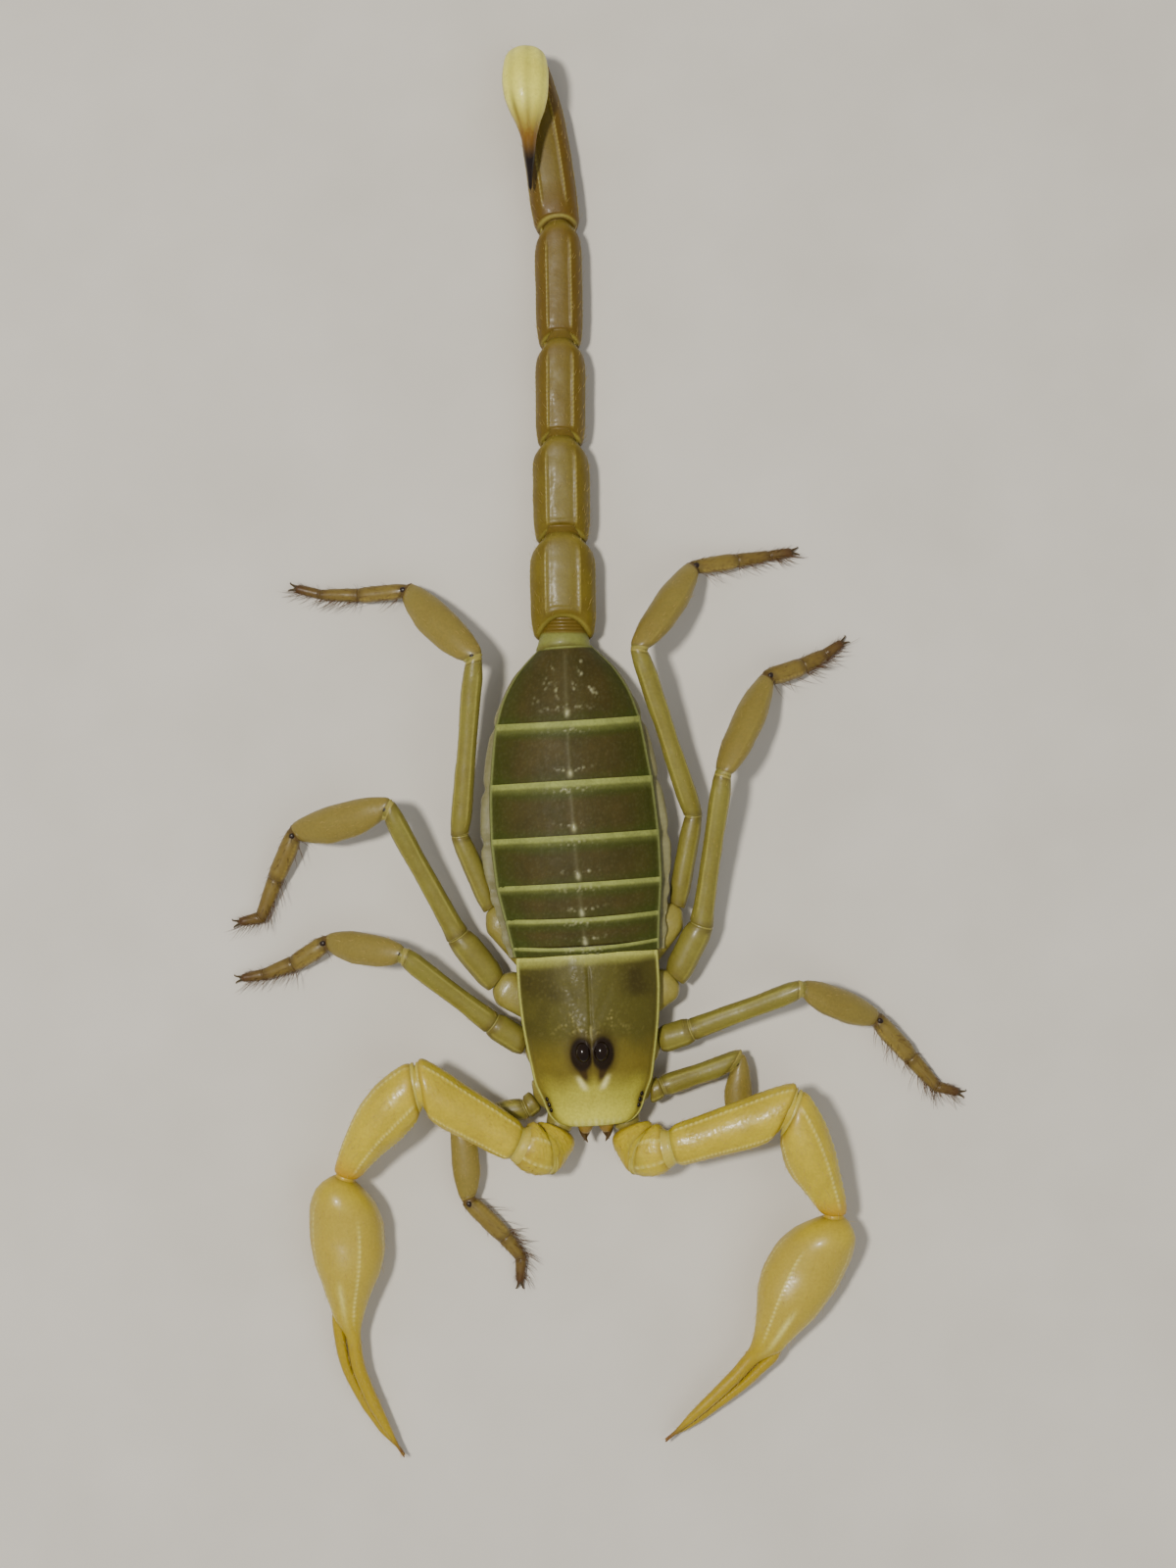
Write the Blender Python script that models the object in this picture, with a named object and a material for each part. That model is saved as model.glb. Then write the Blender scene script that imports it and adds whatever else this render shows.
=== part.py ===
"""A giant sand scorpion at life size, resting flat with its tail laid straight out behind it.

Metres, +Z up, head towards -Y, the animal's left towards +X. Lengths below are in millimetres and are
turned into metres as the meshes are made. The model is laid out from its waist, the middle of the
carapace's rear edge, and at the end it is moved so that the origin is under the middle of its box.
"""

import math

import bmesh
import bpy
from mathutils import Vector

MM = 0.001
CUT = 0.1  # the thin cut between neighbouring pieces
FLOOR = 0.0
UP = Vector((0, 0, 1))
SIDES = {"left": 1, "right": -1}

# Spine: the line of carapace and trunk, seen from above
SPINE_TURN = 3.6  # degrees that the body's cross direction is turned
HEAD_LEAN = 0.0507  # sideways per millimetre ahead of the waist
TRUNK_LEAN = 0.12  # sideways per millimetre behind it
TRUNK_BEND = 0.0027  # and back again, per square millimetre

# Carapace: (distance in front of the waist, half width, height of the crest, height of the side edge)
CARAPACE_STATIONS = (
    (-0.28, 4.08, 4.85, 3.3),
    (1.2, 4.08, 5.0, 3.2),
    (3.0, 3.98, 5.0, 3.1),
    (4.2, 3.84, 4.95, 3.0),
    (5.0, 3.72, 4.9, 2.95),
    (5.8, 3.58, 4.75, 2.9),
    (6.8, 3.4, 4.5, 2.85),
    (7.8, 3.0, 4.2, 2.8),
    (8.7, 2.66, 3.95, 2.75),
    (9.2, 2.2, 3.75, 2.8),
    (9.42, 1.75, 3.6, 2.85),
)
CARAPACE_THICK = 0.6
CARAPACE_INSET = 0.2  # how far its underside stays in from its edge
CARAPACE_STEPS = 8  # points from its crest to its side edge
EYE_MOUND = {"ahead": 5.05, "length": 1.25, "width": 0.95, "height": 0.42}
EYE_SPREAD = 0.58
EYE_RADIUS = 0.5
EYE_LENGTH = 1.35  # an eye's length as a share of its width
EYE_SIDES = 10
EYE_SEAT = 0.86  # an eye's height on the mound, as a share of the mound's
EYE_FACING = {"up": 0.9, "out": 0.42}
EYE_DOME = ((0.1, 0.9), (0.2, 1.0), (0.36, 0.86), (0.48, 0.5), (0.52, 0.2))  # (rise, share of its width)

# Tergites: the distance behind the waist of each plate's front edge, and of the last one's rear edge
TERGITE_EDGES = (0.4, 0.88, 2.45, 4.35, 7.05, 10.15, 13.6, 18.0)
# Trunk: (distance behind the waist, half widths of plates and of soft flank, crest, plates' side edge)
TRUNK_STATIONS = (
    (0.3, 4.16, 4.55, 4.8, 3.35),
    (2.1, 4.4, 4.95, 5.1, 3.4),
    (4.5, 4.78, 5.35, 5.35, 3.4),
    (7.0, 4.86, 5.55, 5.45, 3.35),
    (9.8, 4.74, 5.2, 5.35, 3.25),
    (12.6, 4.36, 4.7, 5.1, 3.1),
    (14.2, 4.1, 4.2, 4.85, 2.95),
    (16.0, 3.3, 3.35, 4.35, 2.6),
    (17.3, 2.25, 2.25, 3.85, 2.3),
    (18.0, 1.5, 1.5, 3.55, 2.2),
)
TRUNK_RINGS = (0.42, 1.5, 2.6, 3.8, 4.8, 5.4, 5.9, 6.4, 8.0, 9.8, 11.6, 13.2, 14.2, 15.2, 16.2, 17.2, 17.9)
TERGITE_THICK = 0.45
TERGITE_STEPS = 5  # points from a plate's crest to its side edge
TERGITE_RING_GAP = 1.3  # about how far apart a plate's rings are
PLATE_EDGE = 0.6  # a plate's thickness at its side edge, as a share of that at its crest
TERGITE_INSET = 0.15
TERGITE_LAP = 0.14  # how far a plate's rear edge stands above the next plate's front edge
BELLY_REST = (6.4, 15.2)  # the belly lies on the floor between these distances
BELLY_FRONT_HEIGHT = 2.5  # the underside over the hind coxae
BELLY_RAMP = 1.6
BELLY_REAR_HEIGHT = 0.55
BELLY_CURVE = 1.5
# The flank from the belly up: (share of its half width, share of the way up to its widest line)
FLANK_SHAPE = ((0.6, 0.0), (0.8, 0.14), (0.93, 0.5), (1.0, 1.0))
FLANK_DROP = 0.2  # from the plates' edge down to the widest line
UNDER_PLATE_SHARES = (0.8, 0.6, 0.4, 0.2)

# Underside of the prosoma: (distance in front of the waist, half width at the top, height of the underside)
CHEST_STATIONS = (
    (-0.1, 3.3, 1.5),
    (1.5, 3.5, 1.05),
    (3.5, 3.35, 0.95),
    (5.5, 3.05, 0.95),
    (7.4, 2.6, 1.05),
)
CHEST_CLEAR = 0.75  # from the carapace's side edge down to the top of the chest
CHEST_KEEL = {"half": 0.3, "flank": 0.75, "flank_rise": 0.3, "side_rise": 0.2}
CHEST_ROOF = ((0.6, 1.1), (0.2, 0.85))  # (share of its half width, drop from the carapace's crest)

# Legs. Joint heights of each pair: hip, trochanter, knee, patella, tibia, basitarsus and toe
LEG_HEIGHTS = {
    1: (1.7, 1.75, 1.7, 1.15, 0.7, 0.42, 0.26),
    2: (1.75, 2.2, 3.9, 1.5, 0.8, 0.42, 0.26),
    3: (1.75, 2.4, 4.4, 1.6, 0.85, 0.44, 0.26),
    4: (1.75, 2.5, 4.6, 1.6, 0.85, 0.42, 0.26),
}
# Half widths of each pair: trochanter, femur, patella, tibia, basitarsus and telotarsus
LEG_WIDTHS = {
    1: (0.66, 0.62, 0.82, 0.54, 0.4, 0.28),
    2: (0.8, 0.62, 0.94, 0.55, 0.42, 0.28),
    3: (0.84, 0.6, 1.07, 0.56, 0.43, 0.28),
    4: (0.6, 0.58, 1.07, 0.47, 0.36, 0.28),
}
# Each leg in plan: where its hip is, to the left of the waist and behind it
LEG_HIPS = {
    (1, "left"): (3.59, -7.71),
    (1, "right"): (-2.91, -8.1),
    (2, "left"): (4.1, -4.71),
    (2, "right"): (-3.54, -4.93),
    (3, "left"): (5.01, -1.08),
    (3, "right"): (-5.23, -1.37),
    (4, "left"): (5.17, 3.05),
    (4, "right"): (-5.57, 2.88),
}
# Reach and heading in degrees of the trochanter, femur, patella, tibia, basitarsus and telotarsus
LEG_STEPS = {
    (1, "left"): ((0.82, 27), (4.5, 19), (3.9, -86), (2.5, -163), (1.5, -166), (1.45, -161)),
    (1, "right"): ((0.8, -142), (3.75, -171), (4.85, -85.5), (3.0, -46), (1.55, -54), (1.45, -92)),
    (2, "left"): ((2.05, 20), (6.65, 21.5), (4.9, -23), (3.0, -48), (2.35, -48), (1.35, -16)),
    (2, "right"): ((2.35, 147), (6.4, 141.5), (4.6, 172.5), (2.35, -148), (1.85, -160), (1.35, -170)),
    (3, "left"): ((3.5, 63.5), (8.7, 82.5), (6.2, 64), (2.2, 19), (1.5, 28), (1.2, 35)),
    (3, "right"): ((3.55, 129), (8.25, 118), (5.75, -165.5), (2.9, -114.5), (2.4, -112), (1.3, -167)),
    (4, "left"): ((5.35, 80), (10.0, 108.5), (5.8, 56.5), (2.6, 10), (1.9, 9.5), (1.35, 10)),
    (4, "right"): ((4.65, 112.5), (10.1, 85), (5.7, 135), (2.8, -176), (2.25, 178), (1.5, 166)),
}
PATELLA_ROLLS = {(2, "left"): 25, (3, "left"): 50, (4, "left"): 48}  # degrees; none on the other legs
COXA_ROOTS = {1: (0.9, -6.6), 2: (0.95, -5.2), 3: (1.0, -3.9), 4: (1.05, -2.4)}
COXA_HEIGHT = 1.7
COXA_OUTLINE = ((0.0, 0.62), (0.6, 0.7))  # (share of its length, radius); then it fits the trochanter
COXA_END = 0.85

# Outlines along a limb piece: (share of its length, share of its half width)
TROCHANTER = ((0.0, 0.8), (0.25, 1.0), (0.75, 1.0), (1.0, 0.84))
FEMUR = ((0.0, 0.84), (0.12, 1.05), (0.5, 0.96), (0.85, 1.02), (1.0, 0.84))
PATELLA = ((0.0, 0.5), (0.1, 0.72), (0.32, 0.96), (0.6, 1.0), (0.85, 0.78), (1.0, 0.5))
TIBIA = ((0.0, 0.84), (0.3, 1.0), (0.8, 0.98), (1.0, 0.85))
BASITARSUS = ((0.0, 1.0), (0.5, 1.0), (1.0, 0.8))
TELOTARSUS = ((0.0, 1.0), (0.6, 0.98), (1.0, 0.85))
LEG_OUTLINES = (TROCHANTER, FEMUR, PATELLA, TIBIA, BASITARSUS, TELOTARSUS)
PATELLA_DEPTH = 0.72  # thickness as a share of width
LIMB_DEPTH = 0.95

# Pedipalps. Joint places: to the left of the waist, behind it, and above the floor
PALP_JOINTS = {
    "left": (
        (2.35, -9.75, 1.85),
        (3.2, -11.0, 2.9),
        (4.75, -10.65, 3.6),
        (11.5, -8.4, 4.5),
        (14.15, -14.55, 3.2),
    ),
    "right": (
        (-1.65, -9.85, 1.85),
        (-2.5, -10.95, 2.9),
        (-3.95, -10.45, 3.6),
        (-9.6, -7.0, 4.5),
        (-13.9, -12.35, 3.2),
    ),
}
PALP_HANDS = {  # the hand's reach and heading, then those of the three stretches of its fingers
    "left": ((8.75, -116.4), (2.35, -130), (2.9, -135.5), (2.8, -138.5)),
    "right": ((8.3, -89.2), (2.7, -84.5), (3.2, -68), (3.1, -58.5)),
}
PALP_COXA = {"out": 1.35, "ahead": 6.4, "height": 1.45, "radius": 0.76, "depth": 0.7}
PALP_COXA_OUTLINE = ((0.0, 0.75), (0.6, 1.0), (1.0, 0.9))
PALP_TROCHANTER = ((0.0, 0.85), (0.3, 1.0), (1.0, 1.05)), ((0.0, 1.05), (0.5, 1.12), (1.0, 0.86))
PALP_TROCHANTER_RADIUS = 1.3
PALP_FEMUR = ((0.0, 0.86), (0.08, 0.98), (0.5, 0.96), (0.8, 1.04), (0.95, 0.98), (1.0, 0.8))
PALP_FEMUR_RADIUS = 1.42
PALP_PATELLA = (
    (0.0, 0.8), (0.12, 0.98), (0.32, 1.1), (0.5, 1.04), (0.66, 0.88), (0.82, 0.71), (0.95, 0.56), (1.0, 0.5)
)
PALP_PATELLA_RADIUS = 1.4
PALP_PATELLA_BOW = {"left": 0.05, "right": 0.45}  # how far its middle bows outwards
PALP_PATELLA_DEPTH = 0.9
PALP_DEPTH = 0.85
PALP_SIDES = 10
HAND = (
    (0.0, 0.34), (0.04, 0.5), (0.15, 0.8), (0.31, 0.98), (0.45, 1.0), (0.62, 0.9), (0.79, 0.66), (0.9, 0.5),
    (0.97, 0.42),
)
HAND_RADIUS = 2.18
HAND_DEPTH = 0.9
HAND_HEIGHT = 1.98  # of the middle of the swollen palm
HAND_SWELL_END = 0.9  # share of the hand's length where its palm ends
HAND_SIDES = 12
FINGER_HEIGHTS = (1.9, 1.65, 1.35, 1.05)
FINGER_HALF_WIDTHS = (0.48, 0.4, 0.33, 0.26)
FINGER_INWARD = (0.22, 0.22, 0.22, 0.1)  # how far the fixed finger lies inside the fingers' line
FINGER_STEPS = 2  # rings for each stretch of a finger
THUMB_DROP = (0.1, 0.3, 0.55, 0.64)  # the movable finger lies outside the fixed one and dips under it
THUMB_OUT = (0.64, 0.48, 0.2, -0.1)
THUMB_HALF_WIDTHS = (0.34, 0.32, 0.29, 0.25)
THUMB_SIDES = 8

# Tail: joints of the five segments (to the left of the waist, behind it), half widths and heights
TAIL_JOINTS = ((-1.36, 18.25), (-1.46, 23.9), (-1.55, 29.5), (-1.58, 35.2), (-1.72, 42.0), (-3.45, 52.2))
TAIL_HALF_WIDTHS = (1.9, 1.65, 1.45, 1.36, 1.38)
TAIL_HEIGHTS = (3.2, 3.05, 2.9, 2.8, 2.65)
TAIL_SEGMENT = ((0.0, 0.78), (0.07, 0.92), (0.3, 1.0), (0.75, 1.0), (0.93, 0.94), (1.0, 0.8))
TAIL_LAST = ((0.0, 0.82), (0.06, 0.96), (0.25, 1.0), (0.6, 0.97), (0.85, 0.84), (0.96, 0.72), (1.0, 0.56))
TAIL_SQUARENESS = 2.8
TAIL_SIDES = 12
TAIL_SETTLE = 0.8  # how far a narrower ring sinks towards the floor
TAIL_LAST_BOW = 0.16

# Telson, folded forward over the last tail segment: place, half width and half depth of its rings
TELSON_RINGS = (
    (-3.47, 51.52, 2.17, 0.5, 0.42),
    (-3.46, 51.75, 2.95, 0.4, 0.3),
    (-3.52, 51.75, 3.5, 0.98, 0.62),
    (-3.55, 51.2, 3.95, 1.26, 0.98),
    (-3.55, 50.3, 4.2, 1.34, 1.18),
    (-3.52, 49.4, 4.25, 1.27, 1.16),
    (-3.46, 48.5, 4.2, 1.02, 0.98),
    (-3.4, 47.7, 4.1, 0.68, 0.72),
    (-3.34, 46.8, 3.95, 0.42, 0.45),
    (-3.3, 45.6, 3.6, 0.3, 0.32),
    (-3.28, 44.15, 2.95, 0.25, 0.25),
)

# Chelicerae and pectines
CHELICERA = {"out": 0.5, "rear": 7.6, "front": 9.95, "height": 2.3, "half": (0.45, 0.5)}
CHELICERA_OUTLINE = ((0.0, 0.85), (0.35, 1.0), (0.75, 0.95), (1.0, 0.6))
CHELICERA_SIDES = 10
PECTINE = {"root": (0.5, 0.3), "tip": (3.3, 3.4), "height": 0.62, "half": (0.62, 0.3)}
PECTINE_OUTLINE = ((0.0, 0.7), (0.2, 1.0), (0.7, 0.9), (1.0, 0.55))
PECTINE_SQUARENESS = 3.0

SHARP_ANGLE = 50  # degrees
TELSON_SIDES = 12

# Colour and roughness of each kind of piece; none is metallic
COLOURS = {
    "carapace": ((0.30, 0.27, 0.10), 0.35),
    "tergite": ((0.12, 0.11, 0.05), 0.3),
    "soft": ((0.40, 0.37, 0.20), 0.4),
    "eye": ((0.02, 0.012, 0.008), 0.1),
    "jaw": ((0.45, 0.35, 0.12), 0.35),
    "leg": ((0.42, 0.38, 0.16), 0.4),
    "toe": ((0.28, 0.20, 0.08), 0.45),
    "palp": ((0.48, 0.39, 0.13), 0.35),
    "finger": ((0.42, 0.28, 0.06), 0.35),
    "tail": ((0.36, 0.27, 0.07), 0.35),
    "telson": ((0.62, 0.58, 0.26), 0.3),
}


def clear_scene():
    for obj in list(bpy.data.objects):
        bpy.data.objects.remove(obj)


def finish_of(name, kind):
    colour, roughness = COLOURS[kind]
    material = bpy.data.materials.new(name)
    material.use_nodes = True
    shader = material.node_tree.nodes["Principled BSDF"]
    shader.inputs["Base Color"].default_value = (*colour, 1)
    shader.inputs["Roughness"].default_value = roughness
    shader.inputs["Metallic"].default_value = 0.0
    material.diffuse_color = (*colour, 1)
    return material


def spine(back):
    """The spine's point this far behind the waist, in plan, and the unit vector to the animal's left."""
    aside = -HEAD_LEAN * back if back < 0 else back * (TRUNK_BEND * back - TRUNK_LEAN)
    turn = math.radians(SPINE_TURN)
    return Vector((aside, back, 0)), Vector((math.cos(turn), math.sin(turn), 0))


def between(stations, where):
    """The other numbers of a table of stations, read at a place along its first number."""
    for before, after in zip(stations, stations[1:]):
        if where <= after[0]:
            break
    share = (where - before[0]) / (after[0] - before[0])
    return [a + (b - a) * share for a, b in zip(before[1:], after[1:])]


def add_loft(name, rings, kind):
    """One closed solid through rings of equal length, each given the same way round, with flat ends."""
    mesh = bmesh.new()
    loops = [[mesh.verts.new(point * MM) for point in ring] for ring in rings]
    for first, second in zip(loops, loops[1:]):
        for i in range(len(first)):
            j = (i + 1) % len(first)
            mesh.faces.new((first[i], first[j], second[j], second[i]))
    mesh.faces.new(loops[0])
    mesh.faces.new(loops[-1])
    bmesh.ops.recalc_face_normals(mesh, faces=mesh.faces)
    data = bpy.data.meshes.new(name)
    mesh.to_mesh(data)
    mesh.free()
    data.materials.append(finish_of(name, kind))
    data.shade_smooth()
    data.set_sharp_from_angle(angle=math.radians(SHARP_ANGLE))
    obj = bpy.data.objects.new(name, data)
    bpy.context.collection.objects.link(obj)
    return obj


def oval(sides, squareness=2.0):
    """Points of a superellipse that fills a box two units wide and high, with a flat side at the bottom."""
    points = []
    for i in range(sides):
        angle = 2 * math.pi * (i + 0.5) / sides - math.pi / 2
        x, y = math.cos(angle), math.sin(angle)
        power = 2 / squareness
        points.append((math.copysign(abs(x) ** power, x), math.copysign(abs(y) ** power, y)))
    wide = max(x for x, _ in points)
    high = max(y for _, y in points)
    return [(x / wide, y / high) for x, y in points]


def limb_rings(path, pieces, sides=8, ends=(None, None), squareness=2.0, floor=FLOOR):
    """Rings along a bent limb, cut square across every bend.

    pieces holds, for each stretch of the path, (outline, half width, half depth, roll in degrees).
    ends are the next joint before and after the path, towards which its two ends are mitred."""
    unit = oval(sides, squareness)
    directions = [(b - a).normalized() for a, b in zip(path, path[1:])]
    cuts = []
    for i, point in enumerate(path):
        before = directions[i - 1] if i else None
        after = directions[i] if i < len(directions) else None
        if before is None:
            before = (point - ends[0]).normalized() if ends[0] else after
            shift = CUT / 2 if ends[0] else 0.0
        elif after is None:
            after = (ends[1] - point).normalized() if ends[1] else before
            shift = -CUT / 2 if ends[1] else 0.0
        else:
            shift = 0.0
        cuts.append(((before + after).normalized(), point, shift))
    rings = []
    for i, (outline, half_width, half_depth, roll) in enumerate(pieces):
        along = directions[i]
        sideways = along.cross(UP).normalized()
        upward = sideways.cross(along)
        turn = math.radians(roll)
        across = sideways * math.cos(turn) + upward * math.sin(turn)
        over = upward * math.cos(turn) - sideways * math.sin(turn)
        for share, size in outline[1 if rings else 0:]:
            ring = []
            for x, y in unit:
                offset = across * (x * half_width * size) + over * (y * half_depth * size)
                reach = []
                for normal, point, shift in (cuts[i], cuts[i + 1]):
                    distance = (point - path[i] - offset).dot(normal) + shift
                    reach.append(distance / along.dot(normal))
                place = path[i] + offset + along * (reach[0] + (reach[1] - reach[0]) * share)
                place.z = max(place.z, floor)
                ring.append(place)
            rings.append(ring)
    return rings


def plan_step(point, reach, heading, height):
    angle = math.radians(heading)
    return Vector((point.x + reach * math.cos(angle), point.y + reach * math.sin(angle), height))


def arch(share, top, side, power=2.2):
    """Height of a curved plate at a share of its half width."""
    return side + (top - side) * (1 - abs(share) ** power)


def arch_section(centre, leftward, half_width, crest, edge, thick, inset, count):
    """A curved plate's section: over the top from the right edge to the left, then back beneath."""
    over = [i / count for i in range(-count, count + 1)]
    ring = []
    for share in over:
        ring.append(centre + leftward * (share * half_width) + UP * arch(share, crest, edge))
    for share in reversed(over):
        low = arch(share, crest - thick, edge - thick * PLATE_EDGE)
        ring.append(centre + leftward * (share * (half_width - inset)) + UP * low)
    return ring


def make_carapace():
    rings = []
    for ahead, half_width, crest, edge in CARAPACE_STATIONS:
        centre, leftward = spine(-ahead)
        ring = arch_section(
            centre, leftward, half_width, crest, edge, CARAPACE_THICK, CARAPACE_INSET, CARAPACE_STEPS
        )
        along = (ahead - EYE_MOUND["ahead"]) / EYE_MOUND["length"]
        for i in range(2 * CARAPACE_STEPS + 1):
            across = (ring[i] - centre).dot(leftward) / EYE_MOUND["width"]
            swell = math.exp(-(along * along) - across ** 4)
            ring[i] = ring[i] + UP * EYE_MOUND["height"] * swell
        rings.append(ring)
    add_loft("carapace", rings, "carapace")


def make_median_eye(side):
    """A domed lens that lies on the slope of the eye mound."""
    centre, leftward = spine(-EYE_MOUND["ahead"])
    crest = between(CARAPACE_STATIONS, EYE_MOUND["ahead"])[1]
    seat = crest + EYE_MOUND["height"] * EYE_SEAT
    middle = centre + leftward * (EYE_SPREAD * SIDES[side]) + UP * seat
    outward = (UP * EYE_FACING["up"] + leftward * (SIDES[side] * EYE_FACING["out"])).normalized()
    forward = leftward.cross(UP)
    across = outward.cross(forward).normalized()
    rings = []
    for rise, size in EYE_DOME:
        ring = []
        for i in range(EYE_SIDES):
            angle = 2 * math.pi * i / EYE_SIDES
            flat = across * math.cos(angle) + forward * (math.sin(angle) * EYE_LENGTH)
            ring.append(middle + flat * (EYE_RADIUS * size) + outward * rise)
        rings.append(ring)
    add_loft("median_eye_" + side, rings, "eye")


def make_tergite(number):
    front = TERGITE_EDGES[number - 1] + CUT / 2
    rear = TERGITE_EDGES[number] - CUT / 2
    steps = max(2, round((rear - front) / TERGITE_RING_GAP))
    rings = []
    for i in range(steps + 1):
        share = i / steps
        back = front + (rear - front) * share
        half_width, _, crest, edge = between(TRUNK_STATIONS, back)
        centre, leftward = spine(back)
        top = crest + TERGITE_LAP * (share - 0.5)
        ring = arch_section(
            centre, leftward, half_width, top, edge, TERGITE_THICK, TERGITE_INSET, TERGITE_STEPS
        )
        rings.append(ring)
    add_loft(f"tergite_{number}", rings, "tergite")


def belly_height(back):
    """Height of the trunk's underside: raised over the coxae, on the floor, then rising to the tail."""
    front, rear = BELLY_REST
    if back < front:
        return BELLY_FRONT_HEIGHT * min(1.0, (front - back) / BELLY_RAMP) ** BELLY_CURVE
    last = TRUNK_STATIONS[-1][0]
    return BELLY_REAR_HEIGHT * max(0.0, (back - rear) / (last - rear)) ** BELLY_CURVE


def make_trunk():
    """The soft body between the back plates and the floor: flanks, belly plates and front underside."""
    rings = []
    gap = 1.4 * CUT + TERGITE_LAP / 2
    for back in TRUNK_RINGS:
        plate, flank, crest, edge = between(TRUNK_STATIONS, back)
        centre, leftward = spine(back)
        low = belly_height(back)
        rim = edge - TERGITE_THICK * PLATE_EDGE - gap
        widest = rim - FLANK_DROP
        half = [(flank * share, low + rise * (widest - low)) for share, rise in FLANK_SHAPE]
        half += [(flank * 0.98, (widest + rim) / 2), (plate, rim)]
        for share in UNDER_PLATE_SHARES:
            under = arch(share, crest - TERGITE_THICK, edge - TERGITE_THICK * PLATE_EDGE)
            half.append((share * (plate - TERGITE_INSET), under - gap))
        left = [centre + leftward * x + UP * z for x, z in half]
        right = [centre - leftward * x + UP * z for x, z in reversed(half)]
        rings.append(left + right)
    add_loft("trunk", rings, "soft")


def coxa_root(pair, side):
    """Where a leg's coxa leaves the middle of the underside."""
    out, back = COXA_ROOTS[pair]
    centre, leftward = spine(back)
    return centre + leftward * (out * SIDES[side]) + UP * COXA_HEIGHT


def palp_root(side):
    """Where a pedipalp's coxa leaves the middle of the underside."""
    centre, leftward = spine(-PALP_COXA["ahead"])
    return centre + leftward * (PALP_COXA["out"] * SIDES[side]) + UP * PALP_COXA["height"]


def make_chest():
    """The underside of the prosoma, with the eight coxae and the two pedipalp coxae grown to it."""
    rings = []
    for ahead, half_width, low in CHEST_STATIONS:
        centre, leftward = spine(-ahead)
        _, crest, edge = between(CARAPACE_STATIONS, max(ahead, CARAPACE_STATIONS[0][0]))
        top = edge - CHEST_CLEAR
        half = [
            (half_width * CHEST_KEEL["half"], low),
            (half_width * CHEST_KEEL["flank"], low + CHEST_KEEL["flank_rise"]),
            (half_width, (top + low) / 2 + CHEST_KEEL["side_rise"]),
            (half_width * 0.96, top),
        ]
        half += [(half_width * share, crest - drop) for share, drop in CHEST_ROOF]
        left = [centre + leftward * x + UP * z for x, z in half]
        right = [centre - leftward * x + UP * z for x, z in reversed(half)]
        rings.append(left + right)
    chest = add_loft("chest", rings, "soft")
    for (pair, side), hip in LEG_HIPS.items():
        end = Vector((*hip, LEG_HEIGHTS[pair][0]))
        after = plan_step(end, *LEG_STEPS[pair, side][0], LEG_HEIGHTS[pair][1])
        width = LEG_WIDTHS[pair][0]
        outline = [(share, radius / width) for share, radius in COXA_OUTLINE] + [(1.0, COXA_END)]
        piece = (outline, width, width * LIMB_DEPTH, 0)
        rings = limb_rings([coxa_root(pair, side), end], [piece], ends=(None, after))
        join(chest, add_loft("coxa", rings, "soft"))
    for side in SIDES:
        start, after = (Vector(place) for place in PALP_JOINTS[side][:2])
        piece = (PALP_COXA_OUTLINE, PALP_COXA["radius"], PALP_COXA["depth"], 0)
        rings = limb_rings([palp_root(side), start], [piece], ends=(None, after))
        join(chest, add_loft("coxa", rings, "soft"))


def join(obj, addition):
    """Unites a piece with a solid for good."""
    union = obj.modifiers.new("union", "BOOLEAN")
    union.operation = "UNION"
    union.solver = "EXACT"
    union.object = addition
    bpy.context.view_layer.update()
    evaluated = obj.evaluated_get(bpy.context.evaluated_depsgraph_get())
    united = bpy.data.meshes.new_from_object(evaluated)
    obj.modifiers.remove(union)
    obj.data = united
    bpy.data.objects.remove(addition)


def make_chelicera(side):
    out = CHELICERA["out"] * SIDES[side]
    path = []
    for ahead in (CHELICERA["rear"], CHELICERA["front"]):
        centre, leftward = spine(-ahead)
        path.append(centre + leftward * out + UP * CHELICERA["height"])
    piece = (CHELICERA_OUTLINE, *CHELICERA["half"], 0)
    add_loft("chelicera_" + side, limb_rings(path, [piece], CHELICERA_SIDES), "jaw")


def make_pectine(side):
    path = []
    for out, back in (PECTINE["root"], PECTINE["tip"]):
        centre, leftward = spine(back)
        path.append(centre + leftward * (out * SIDES[side]) + UP * PECTINE["height"])
    piece = (PECTINE_OUTLINE, *PECTINE["half"], 0)
    add_loft("pectine_" + side, limb_rings(path, [piece], squareness=PECTINE_SQUARENESS), "leg")


def make_leg(pair, side):
    heights = LEG_HEIGHTS[pair]
    joints = [Vector((*LEG_HIPS[pair, side], heights[0]))]
    for (reach, heading), height in zip(LEG_STEPS[pair, side], heights[1:]):
        joints.append(plan_step(joints[-1], reach, heading, height))
    pieces = []
    for outline, width in zip(LEG_OUTLINES, LEG_WIDTHS[pair]):
        flat = outline is PATELLA
        roll = PATELLA_ROLLS.get((pair, side), 0) * SIDES[side] if flat else 0
        pieces.append((outline, width, width * (PATELLA_DEPTH if flat else LIMB_DEPTH), roll))
    name = f"leg_{pair}_{side}"
    root = coxa_root(pair, side)
    add_loft(name + "_femur", limb_rings(joints[:3], pieces[:2], ends=(root, joints[3])), "leg")
    add_loft(name + "_patella", limb_rings(joints[2:4], pieces[2:3], ends=(joints[1], joints[4])), "leg")
    add_loft(name + "_tarsus", limb_rings(joints[3:], pieces[3:], ends=(joints[2], None)), "toe")


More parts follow.
